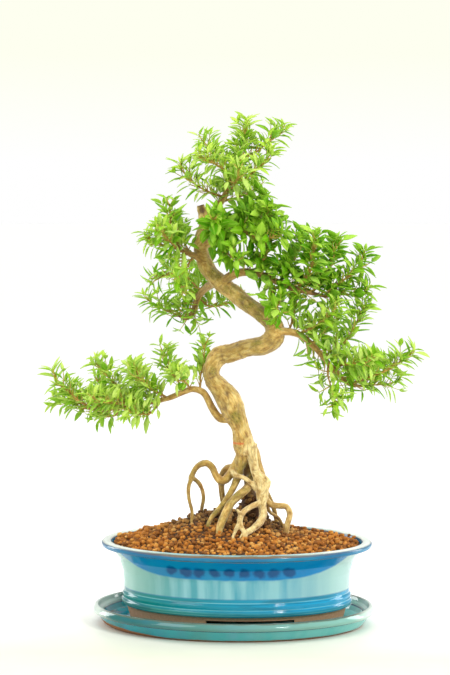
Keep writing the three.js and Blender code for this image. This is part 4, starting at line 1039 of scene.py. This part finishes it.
plates = grain_noise(3.2, 6.5, 4)
fibres = grain_noise(1.0, 2.8, 3)
clouds = add_node(tree, "TexNoise", {"Vector": place, "Scale": 60, "Detail": 4, "Roughness": 0.6})
flecks = add_node(tree, "TexNoise", {"Vector": place, "Scale": 650, "Detail": 3, "Roughness": 0.65})
BARK_TONES = [(0.3, "#8E6420"), (0.42, "#B68A34"), (0.55, "#D0A84C"), (0.7, "#E2C87C")]
tone = add_node(tree, "ValToRGB", {"Fac": plates}, BARK_TONES)
# Where each tone shows: what it follows, from where to where it grows, and how strong it gets.
TONE_SPREADS = {
    "plate": (plates, 0.35, 0.65, 1.0), "fibre": (fibres, 0.35, 0.65, 1.0),
    "cream": (plates, 0.3, 0.55, 0.8), "orange": (clouds, 0.5, 0.68, 0.5),
    "algae": (clouds, 0.4, 0.58, 0.95), "groove": (fibres, 0.5, 0.7, 0.4),
    "fleck": (flecks, 0.58, 0.7, 0.25), "crack": (bark_share["fissure"], 0.7, 1.0, 0.5),
    "graft": (clouds, 0.32, 0.44, 0.9), "dry": (plates, 0.25, 0.75, -0.4),
}
spread = {
    name: add_node(tree, "MapRange", {"Value": value, "From Min": low, "From Max": high, "To Max": most})
    for name, (value, low, high, most) in TONE_SPREADS.items()
}
for name, where in {"cream": "pale", "algae": "olive", "graft": "graft", "dry": "damp"}.items():
    spread[name] = add_node(tree, "Math", {0: bark_share[where], 1: spread[name]}, operation="MULTIPLY")
# Dark brown with damp, and painted shade in the hollow under the crown.
damp = add_node(tree, "Math", {0: bark_share["damp"], 1: spread["dry"]}, operation="ADD")
twig_tone = layered(tree, "#6E4424", (spread["plate"], "#B98444"))
algae_tone = layered(tree, "#665A0E", (spread["fibre"], "#9C8E2C"))
bark = layered(
    tree, tone, (spread["cream"], "#ECDCA2"), (spread["orange"], "#C08A40"),
    (bark_share["twiggy"], twig_tone), (spread["algae"], algae_tone), (spread["groove"], "#8C6826"),
    (spread["fleck"], "#F0E2B6"), (spread["crack"], "#6B4A22"), (spread["graft"], "#CC5A1E"),
    (damp, "#4A2C18"),
)
bark_height = add_node(tree, "Math", {0: fibres, 1: 1.0, 2: flecks}, operation="MULTIPLY_ADD")
rough_bark = add_node(tree, "Bump", {"Height": bark_height, "Strength": 0.6, "Distance": 0.0005})
barky = add_node(
    tree, "BsdfPrincipled",
    {
        "Base Color": bark, "Roughness": 0.8, "Normal": rough_bark, "Sheen Weight": 0.25,
        "Sheen Roughness": 0.6,
    },
)
add_node(tree, "OutputMaterial", {"Surface": barky})
trunk = show("trunk_roots_and_branches", skin, [serissa_bark])
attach(trunk, "root")
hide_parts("trunk")

# The leafy twigs: green shoots off the branches, woody at the foot. A shoot lifts and sways as it grows
# and bears a pair of leaves at each joint, each pair a quarter turn round from the last. Here each has
# the side shoots, leafy spurs and young tip leaves that make the crown full and fine. A twig is named for
# its branch; its route is where it starts, where its green shoot starts, and what it points at.
TWIGS = {
    "lowLeft": [
        [(-44, 3, 225), (-46, -14, 232), (-54, -40, 240)],
        [(-52, 0, 222), (-58, 14, 233), (-76, 36, 246)],
        [(-66, -6, 217), (-76, -20, 225), (-100, -46, 236)],
        [(-82, -10, 213), (-92, 6, 224), (-108, 32, 240)],
        [(-98, -8, 210), (-108, -22, 214), (-134, -44, 218)],
        [(-138, 3, 205), (-152, -4, 214), (-180, -14, 232)],
        [(-120, -3, 206), (-128, 12, 212), (-146, 40, 222)],
        [(-107, -6, 209), (-112, -6, 222), (-124, -12, 248)],
        [(-74, -8, 215), (-78, -14, 206), (-90, -30, 193)],
        [(-113, -5, 208), (-116, 4, 200), (-128, 18, 190)],
        [(-36, 5, 224), (-36, 14, 236), (-32, 28, 262)],
    ],
    "midRight": [
        [(20, -16, 337), (28, -24, 352), (42, -36, 384)],
        [(43, -22, 328), (52, -8, 344), (66, 12, 376)],
        [(59, -24, 322), (72, -34, 340), (86, -46, 372)],
        [(72, -19, 318), (84, -6, 334), (102, 14, 360)],
        [(84, -15, 315), (98, -18, 328), (124, -24, 346)],
        [(32, -19, 332), (36, -24, 320), (48, -38, 300)],
    ],
    "lowRight": [
        [(61, -14, 279), (72, -24, 286), (96, -42, 296)],
        [(72, -12, 270), (80, 4, 278), (100, 30, 288)],
        [(92, -8, 247), (106, -20, 252), (132, -40, 258)],
        [(83, -10, 257), (104, -6, 272), (132, 2, 296)],
        [(107, -4, 232), (136, -8, 242), (170, -10, 254)],
        [(100, -6, 239), (112, 10, 244), (136, 34, 250)],
        [(50, -14, 282), (54, -8, 294), (64, 6, 316)],
        [(88, -9, 251), (88, -18, 241), (90, -32, 221)],
    ],
    "backLeft": [
        [(-47, 52, 296), (-46, 62, 306), (-42, 78, 326)],
        [(-41, 42, 311), (-32, 48, 303), (-14, 56, 297)],
        [(-36, 34, 318), (-46, 38, 326), (-64, 42, 344)],
    ],
    "upLeft": [
        [(-50, -10, 357), (-56, -22, 362), (-64, -46, 370)],
        [(-44, -7, 355), (-50, 6, 364), (-62, 28, 378)],
        [(-47, -9, 356), (-50, -19, 345), (-58, -36, 326)],
        [(-40, -4, 353), (-48, 2, 342), (-64, 14, 322)],
        [(-52, -11, 358), (-60, -6, 370), (-66, 0, 396)],
    ],
    "upMid": [
        [(-18, -14, 369), (-18, -28, 374), (-16, -52, 384)],
        [(-4, -24, 375), (4, -12, 382), (20, 8, 396)],
        [(3, -26, 378), (14, -36, 374), (38, -50, 366)],
        [(-34, 3, 360), (-28, 18, 364), (-14, 44, 374)],
        [(-11, -19, 372), (-10, -30, 362), (-6, -46, 342)],
    ],
    "leader": [
        [(-12, -2, 409), (-26, -8, 414), (-52, -16, 424)],
        [(-16, -1, 403), (-2, 10, 408), (20, 28, 416)],
        [(-7, -4, 421), (8, -12, 426), (36, -24, 436)],
        [(-1, -2, 436), (-14, 6, 442), (-38, 20, 454)],
        [(-4, -3, 428), (-12, -14, 436), (-26, -36, 448)],
        [(2, -1, 443), (16, 4, 450), (44, 10, 462)],
        [(-9, -3, 415), (-2, -16, 418), (12, -42, 424)],
    ],
}

STEM_RADIUS = 0.9
STEM_STEP = 11
STEM_LIFT = 0.14
STEM_SWAY = 0.5
SHOOT_JOINTS = 3
SIDE_SHOOT_SPREAD = 0.75
LEAF_SPREAD = 0.95
LEAF_LENGTH = 17
LEAF_WIDTH = 6
TIP_LEAF_SIZE = 0.82
SIZE_RANGE = (0.85, 1.15)
LEAF_ROOT_DEPTH = 0.7
FIRST_SEED = 17
SEED_STEP = 1000
FINE_SEED_STEP = 777
FINE_STEP = 7
FINE_LIFT = 0.45
LEAF_LIFT = 0.35
LEAF_ROLL = 0.5
LEAF_NOD = (-0.2, 0.25)
LEAF_BREADTHS = (0.65, 1.2)
YOUNG_LEAF_SIZES = (0.3, 0.5)
BETWEEN_JOINTS = (0.35, 0.7)
SPUR_SPACING = 7
SPUR_RADIUS = 0.6
SPUR_YOUTH = 0.25
BRANCH_SPUR_SPACING = 4
BRANCH_SPUR_SHARE = 0.95

# How each branch's foliage differs: how broad its leaves are, how big those of its finer growth are,
# how leafy it is, how deep its green is and how flat its leaves lie to the light.
HABITS = {
    "lowLeft": (0.95, 0.92, 1.1, 0.05, 0.6), "midRight": (1.2, 1.0, 1.05, 0.6, 0.3),
    "lowRight": (0.95, 0.95, 1.25, 0.25, 0.5), "backLeft": (0.9, 0.95, 1.1, 0.3, 0.6),
    "upLeft": (1.05, 0.95, 0.8, 0.3, 0.4), "upMid": (1.35, 1.05, 1.0, 0.7, 0.1),
    "leader": (0.95, 0.92, 1.2, 0.05, 0.6),
}
# How far along each branch, counted in points of its route, its own leafy spurs begin.
SPURS_FROM = {
    "lowLeft": 6, "midRight": 1, "lowRight": 1, "backLeft": 1, "upLeft": 1, "upMid": 1, "leader": 1,
}

# A blade's half widths from its stalk to its tip: share of the length, and share of the half width.
BLADE = [(0, 0.1), (0.1, 0.16), (0.27, 0.78), (0.5, 1), (0.76, 0.66), (1, 0.04)]
BLADE_THICKNESS = 0.028
BLADE_SHAPES = [(0.16, 0.1, 0.0), (0.05, 0.16, 0.05), (0.3, 0.07, -0.06), (0.2, 0.13, 0.09)]


def make_blade(droop, keel, twist):
    """A leaf one unit long and one wide, grown along X: narrow stalk, widest at its middle, keeled."""
    blade = bmesh.new()
    along_layer = blade.verts.layers.float.new("along")
    across_layer = blade.verts.layers.float.new("across")
    under_layer = blade.verts.layers.float.new("under")
    for name in ("tone", "youth"):
        blade.verts.layers.float.new(name)
    bmesh.ops.create_grid(blade, x_segments=len(BLADE) - 1, y_segments=2, size=0.5)
    for vertex in blade.verts:
        column = round((vertex.co.x + 0.5) * (len(BLADE) - 1))
        side = round(vertex.co.y * 2)
        along, half = BLADE[column]
        y = side * half * 0.5
        sag = -droop * along * along + keel * abs(y) + twist * y * along
        vertex.co = (along, y, sag)
        vertex[along_layer] = along
        vertex[across_layer] = side
    bmesh.ops.recalc_face_normals(blade, faces=blade.faces)
    if blade.faces[:][0].normal.z < 0:
        bmesh.ops.reverse_faces(blade, faces=blade.faces)
    top = set(blade.verts)
    bmesh.ops.solidify(blade, geom=list(blade.faces), thickness=BLADE_THICKNESS)
    for vertex in blade.verts:
        vertex[under_layer] = 0 if vertex in top else 1
    data = bpy.data.meshes.new("blade")
    blade.to_mesh(data)
    blade.free()
    return data


def square_up(side, heading):
    """The side turned square to the heading again, and the direction square to both."""
    side = (side - heading * side.dot(heading)).normalized()
    return side, heading.cross(side)


def plan_leaf(place, heading, normal, size):
    """Where a leaf grows and which way it faces, in millimetres."""
    out = (heading * math.cos(LEAF_SPREAD) + normal * math.sin(LEAF_SPREAD)).normalized()
    across = heading.cross(normal).normalized()
    root = place + normal * LEAF_ROOT_DEPTH * STEM_RADIUS
    return {"root": root, "out": out, "across": across, "upper": out.cross(across), "size": size}


def plan_shoot(place, heading, side, joints, side_shoots, draw, step=STEM_STEP):
    """The joints of a green shoot, each with its leaves, and the shoots that grow from it."""
    shoot = []
    for joint in range(1, joints + 1):
        sway = Vector((draw() - 0.5, draw() - 0.5, draw() - 0.5)) * STEM_SWAY
        heading = (heading + sway + Vector((0, 0, STEM_LIFT))).normalized()
        side, other = square_up(side, heading)
        place = place + heading * step * draw.between(*SIZE_RANGE)
        normals = [other, -side, -other, side]
        facets = [0, 2] if joint % 2 else [1, 3]
        size = (TIP_LEAF_SIZE if joint == joints else 1) * draw.between(*SIZE_RANGE)
        knot = {"place": place, "heading": heading, "side": side, "normals": normals, "facets": facets}
        knot["leaves"] = [plan_leaf(place, heading, normals[facet], size) for facet in facets]
        knot["side_shoots"] = []
        if joint <= side_shoots:
            facet = (facets[0] + (1 if joint == 1 else 3)) % 4
            knot["taken"] = facet
            start = place + normals[facet] * STEM_RADIUS
            knot["side_shoots"].append((start, plan_side_shoot(knot, facet, start, 1, draw)))
        shoot.append(knot)
    return shoot


def plan_side_shoot(knot, facet, start, joints, draw, step=STEM_STEP):
    """A shoot out of one side of a joint."""
    outward = knot["normals"][facet] * math.sin(SIDE_SHOOT_SPREAD)
    heading = knot["heading"] * math.cos(SIDE_SHOOT_SPREAD) + outward
    if step == FINE_STEP:
        heading += Vector((0, 0, FINE_LIFT))
    return plan_shoot(start, heading.normalized(), knot["side"], joints, 0, draw, step)


def add_tip_leaves(tip, count, draw):
    """A few young leaves that stand up round a shoot's tip."""
    for facet in range(count):
        size = draw.between(*YOUNG_LEAF_SIZES)
        leaf = plan_leaf(tip["place"], tip["heading"], tip["normals"][facet], size)
        leaf["out"] = (leaf["out"] + 0.6 * tip["heading"]).normalized()
        leaf["upper"] = leaf["out"].cross(leaf["across"])
        leaf["young"] = True
        tip["leaves"].append(leaf)


def add_fine_shoot(knot, facet, joints, draw):
    """A short side shoot with small leaves."""
    start = knot["place"] + knot["normals"][facet] * STEM_RADIUS * 0.5
    side_shoot = plan_side_shoot(knot, facet, start, joints, draw, FINE_STEP)
    for small in side_shoot:
        for leaf in small["leaves"]:
            leaf["size"] *= fineness * draw.between(0.75, 1.1)
    add_tip_leaves(side_shoot[-1], 1 + int(2 * draw()), draw)
    knot["side_shoots"].append((start, side_shoot))


def refine(shoot, leafiness, draw):
    """Adds the finer growth to a planned shoot: side shoots, leaves between joints and young tip leaves."""
    for number, knot in enumerate(shoot):
        is_tip = number == len(shoot) - 1
        free = [facet for facet in range(4) if facet not in knot["facets"] and facet != knot.get("taken")]
        for facet in free:
            if draw() < leafiness:
                add_fine_shoot(knot, facet, 1 if is_tip or draw() < 0.3 else 2, draw)
        for share in BETWEEN_JOINTS:
            place = knot["place"] - knot["heading"] * STEM_STEP * (share + draw.between(-0.1, 0.1))
            spot = {**knot, "place": place}
            for facet in range(4):
                chance = draw()
                if chance < 0.2 * leafiness:
                    size = fineness * draw.between(0.65, 1.05)
                    knot["leaves"].append(plan_leaf(place, knot["heading"], knot["normals"][facet], size))
                elif chance < 0.5 * leafiness:
                    add_fine_shoot(spot, facet, 1, draw)
    add_tip_leaves(shoot[-1], 3, draw)


def plan_spurs(start, end, leafiness, draw, spacing=SPUR_SPACING, more_joints=0):
    """Joints along a stretch of wood that bear short leafy side shoots, and no leaves of their own."""
    heading = (end - start).normalized()
    side = Vector((-heading.y, heading.x, 0)).normalized()
    side, other = square_up(side, heading)
    count = int((end - start).length / spacing)
    spurs = []
    for number in range(1, count + 1):
        place = start + (end - start) * (number / (count + 0.5))
        normals = [other, -side, -other, side]
        knot = {"place": place, "heading": heading, "side": side, "normals": normals, "leaves": []}
        knot["side_shoots"] = []
        for facet in (number % 4, (number + 2) % 4):
            if draw() < leafiness:
                add_fine_shoot(knot, facet, more_joints + (2 if draw() < 0.5 else 1), draw)
        spurs.append(knot)
    return spurs


def turn_to_light(leaf):
    """Lifts a leaf a little and rolls it so that its upper side looks up."""
    upright = Vector((0, 0, 1))
    leaf["out"] = (leaf["out"] + upright * LEAF_LIFT * flatness).normalized()
    level = upright.cross(leaf["out"])
    if level.dot(leaf["across"]) < 0:
        level = -level
    across = leaf["across"] * (1 - flatness) + level * flatness
    leaf["across"], leaf["upper"] = square_up(across, leaf["out"])


def clear_of_wood(leaf):
    """Whether a leaf's middle and tip stay out of the trunk and branches."""
    for share in (0.45, 0.95):
        point = (leaf["root"] + leaf["out"] * share * LEAF_LENGTH * leaf["size"]) * MM
        place, i, distance = wood_tree.find(point)
        if distance < wood_stations[i]["radius"] + 0.6 * MM:
            return False
    return True


def add_blades(body, leaves, youth, draw):
    """Copies a blade into the twig for each leaf."""
    for leaf in leaves:
        turn_to_light(leaf)
        if not clear_of_wood(leaf):
            continue
        shape = blade_shapes[int(draw() * len(blade_shapes))]
        copy = bmesh.ops.duplicate(body, geom=shape)["geom"]
        new_verts = [item for item in copy if isinstance(item, bmesh.types.BMVert)]
        length = LEAF_LENGTH * leaf["size"] * MM
        width = LEAF_WIDTH * breadth * leaf["size"] * MM * draw.between(*LEAF_BREADTHS)
        turn = Matrix((leaf["out"], leaf["across"], leaf["upper"])).transposed().to_4x4()
        rolled = Matrix.Rotation(draw.between(-LEAF_ROLL, LEAF_ROLL), 4, "X")
        turn @= rolled @ Matrix.Rotation(draw.between(*LEAF_NOD), 4, "Y")
        matrix = Matrix.Translation(leaf["root"] * MM) @ turn @ Matrix.Diagonal((length, width, length, 1))
        bmesh.ops.transform(body, matrix=matrix, verts=new_verts)
        tone = draw() * (1.5 - depth) + 0.5 * (1 - depth)
        for vertex in new_verts:
            vertex[tone_layer] = tone
            vertex[youth_layer] = (1 if leaf.get("young") else youth) * (1 - 0.5 * depth)


def add_stem(body, places, radii, youth):
    """A smooth tapering stem through places in millimetres, its youth rising from foot to tip."""
    rings = grow_limb(body, centripetal([(*place, radius) for place, radius in zip(places, radii)]), 6)
    for number, ring in enumerate(rings):
        for vertex in ring:
            vertex[youth_layer] = youth[0] + (youth[1] - youth[0]) * number / (len(rings) - 1)
            vertex[tone_layer] = -1
    faces = {face for ring in rings for vertex in ring for face in vertex.link_faces}
    for face in faces:
        face.material_index = 1


def add_growth(body, foot, shoot, radius, youth, draw):
    """Adds a planned shoot to the twig: its stem from the foot up, its leaves and its side shoots."""
    places = [*foot, *(knot["place"] for knot in shoot)]
    places.append(places[-1] + shoot[-1]["heading"] * 2)
    radii = [radius * (1 - 0.7 * i / (len(places) - 1)) for i in range(len(places))]
    add_stem(body, places, radii, (youth, min(1, youth + 0.6)))
    for number, knot in enumerate(shoot):
        leaf_youth = min(1, youth + 0.5 * (number + 1) / len(shoot))
        add_blades(body, knot["leaves"], leaf_youth, draw)
        for side_start, side_shoot in knot["side_shoots"]:
            add_growth(body, [side_start], side_shoot, 0.55 * radius, min(1, youth + 0.25), draw)


# Serissa leaf: thin and smooth with a satin shine, mid green above, paler below, yellow-green when
# young, with a pale rib down the middle. Light glows through it.
serissa_leaf, tree = new_material("fresh_serissa_leaf")
place = add_node(tree, "TexCoord").outputs["Object"]
tone = add_node(tree, "Attribute", attribute_name="tone").outputs["Fac"]
youth = add_node(tree, "Attribute", attribute_name="youth").outputs["Fac"]
under = add_node(tree, "Attribute", attribute_name="under").outputs["Fac"]
across = add_node(tree, "Attribute", attribute_name="across").outputs["Fac"]
along = add_node(tree, "Attribute", attribute_name="along").outputs["Fac"]
old_green = layered(tree, "#2C8400", (tone, "#92D010"))
young_green = layered(tree, "#B0DC20", (tone, "#ECFC60"))
young_share = add_node(
    tree, "MapRange", {"Value": youth, "From Min": 0.35, "From Max": 1.0, "To Max": 0.85},
)
bleached = add_node(tree, "MapRange", {"Value": tone, "From Min": 0.65, "From Max": 1.6, "To Max": 0.75})
mottle = add_node(tree, "TexNoise", {"Vector": place, "Scale": 260, "Detail": 3})
mottled = add_node(tree, "MapRange", {"Value": mottle, "From Min": 0.5, "From Max": 0.75, "To Max": 0.25})
from_rib = add_node(tree, "Math", {0: across}, operation="ABSOLUTE")
rib = add_node(
    tree, "MapRange", {"Value": from_rib, "From Min": 0.2, "From Max": 0.04, "To Max": 0.4},
    interpolation_type="SMOOTHSTEP",
)
edge = add_node(
    tree, "MapRange", {"Value": from_rib, "From Min": 0.86, "From Max": 1.0, "To Max": 0.4},
    interpolation_type="SMOOTHSTEP",
)
back = add_node(tree, "Math", {0: under, 1: 0.3}, operation="MULTIPLY")
green = layered(
    tree, old_green, (young_share, young_green), (bleached, "#E2F48C"), (mottled, "#489800"),
    (rib, "#C4E25C"), (edge, "#C4DC48"), (back, "#8CBC44"),
)
vein_slope = add_node(tree, "Math", {0: from_rib, 1: -0.16, 2: along}, operation="MULTIPLY_ADD")
vein_wave = add_node(tree, "Math", {0: vein_slope, 1: 44.0}, operation="MULTIPLY")
veins = add_node(tree, "Math", {0: vein_wave}, operation="SINE")
leaf_relief = add_node(tree, "Bump", {"Height": veins, "Strength": 0.25, "Distance": 0.0001})
leafy = add_node(
    tree, "BsdfPrincipled", {"Base Color": green, "Roughness": 0.42, "IOR": 1.25, "Normal": leaf_relief},
)
shining_through = layered(tree, "#A4E01C", (young_share, "#F0FF70"))
lit_through = add_node(tree, "BsdfTranslucent", {"Color": shining_through})
leaf_light = add_node(tree, "MixShader", {"Fac": 0.3, 1: leafy, 2: lit_through})
add_node(tree, "OutputMaterial", {"Surface": leaf_light})

# Green shoots turn to wood as they age: yellow-green at the tip, then reddish, then brown and rough.
young_stem, tree = new_material("ripening_shoot")
place = add_node(tree, "TexCoord").outputs["Object"]
youth = add_node(tree, "Attribute", attribute_name="youth").outputs["Fac"]
STEM_TONES = [(0.0, "#977032"), (0.25, "#BC9442"), (0.5, "#C2AA48"), (0.75, "#A6B432"), (1.0, "#BCD44A")]
ripeness = add_node(tree, "ValToRGB", {"Fac": youth}, STEM_TONES)
grain = add_node(tree, "TexNoise", {"Vector": place, "Scale": 700, "Detail": 3})
scurf = add_node(tree, "MapRange", {"Value": grain, "From Min": 0.5, "From Max": 0.7, "To Max": 0.4})
stem_colour = layered(tree, ripeness, (scurf, "#8C6A34"))
stem_relief = add_node(tree, "Bump", {"Height": grain, "Strength": 0.5, "Distance": 0.0003})
stemmy = add_node(
    tree, "BsdfPrincipled", {"Base Color": stem_colour, "Roughness": 0.6, "Normal": stem_relief},
)
add_node(tree, "OutputMaterial", {"Surface": stemmy})


def start_twig():
    """A new twig's bmesh, with one blade of each shape in it to copy, and its layers for the colours."""
    twig = bmesh.new()
    shapes = []
    for blade in blades:
        known = set(twig.verts) | set(twig.faces)
        twig.from_mesh(blade)
        shapes.append([item for item in [*twig.verts, *twig.faces] if item not in known])
    return twig, shapes, twig.verts.layers.float["tone"], twig.verts.layers.float["youth"]


def finish_twig(name, body, shapes):
    """Takes the spare blades away and shows the twig, which moves with the tree."""
    spare = [v for shape in shapes for v in shape if isinstance(v, bmesh.types.BMVert)]
    bmesh.ops.delete(body, geom=spare)
    leafy_twig = show(name, body, [serissa_leaf, young_stem])
    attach(leafy_twig, "root")
    return leafy_twig


def grow_spurs(body, spurs, draw):
    """Adds short leafy side shoots to the twig."""
    for spur in spurs:
        for side_start, side_shoot in spur["side_shoots"]:
            add_growth(body, [side_start], side_shoot, SPUR_RADIUS, SPUR_YOUTH, draw)


blades = [make_blade(*shape) for shape in BLADE_SHAPES]
twig_number = 0
for branch, route in BRANCHES.items():
    breadth, fineness, leafiness, depth, flatness = HABITS[branch]
    tip_route = [route[-2][:3], route[-1][:3]]
    for number, points in enumerate([tip_route, *TWIGS[branch]]):
        places = [Vector(point) for point in points]
        is_tip = number == 0
        start, aim = places[-2:]
        growing_from = aim if is_tip else start
        heading = (aim - start).normalized()
        side = Vector((-heading.y, heading.x, 0)).normalized()
        draw = Draw(SEED_STEP * twig_number + FIRST_SEED)
        shoot = plan_shoot(growing_from, heading, side, SHOOT_JOINTS, number % 2, draw)
        draw = Draw(FINE_SEED_STEP * (twig_number + 1))
        refine(shoot, leafiness, draw)
        foot = [growing_from]
        spurs = []
        if not is_tip:
            bow = Vector((draw() - 0.5, draw() - 0.5, draw() - 0.5)) * 1.6
            foot = [places[0], (places[0] + start) / 2 + bow, start]
            spurs = plan_spurs(places[0], start, leafiness, draw)

        twig, blade_shapes, tone_layer, youth_layer = start_twig()
        add_growth(twig, foot, shoot, 1.0 if is_tip else 1.25, 0.12 if is_tip else 0, draw)
        grow_spurs(twig, spurs, draw)
        name = f"{branch}_{number + 1}"
        leafy_twig = finish_twig("leafy_twig_" + name, twig, blade_shapes)
        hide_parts("spray_" + name)
        twig_number += 1

    # Short leafy spurs straight off the branch's own wood, which they partly hide.
    draw = Draw(FINE_SEED_STEP * (twig_number + 1) + 5)
    spurred = [Vector(point[:3]) for point in route[SPURS_FROM[branch]:]]
    for number, (near, far) in enumerate(zip(spurred, spurred[1:])):
        twig, blade_shapes, tone_layer, youth_layer = start_twig()
        spurs = plan_spurs(near, far, BRANCH_SPUR_SHARE * leafiness, draw, BRANCH_SPUR_SPACING, 1)
        grow_spurs(twig, spurs, draw)
        finish_twig(f"leafy_spurs_{branch}_{number + 1}", twig, blade_shapes)
for blade in blades:
    bpy.data.meshes.remove(blade)
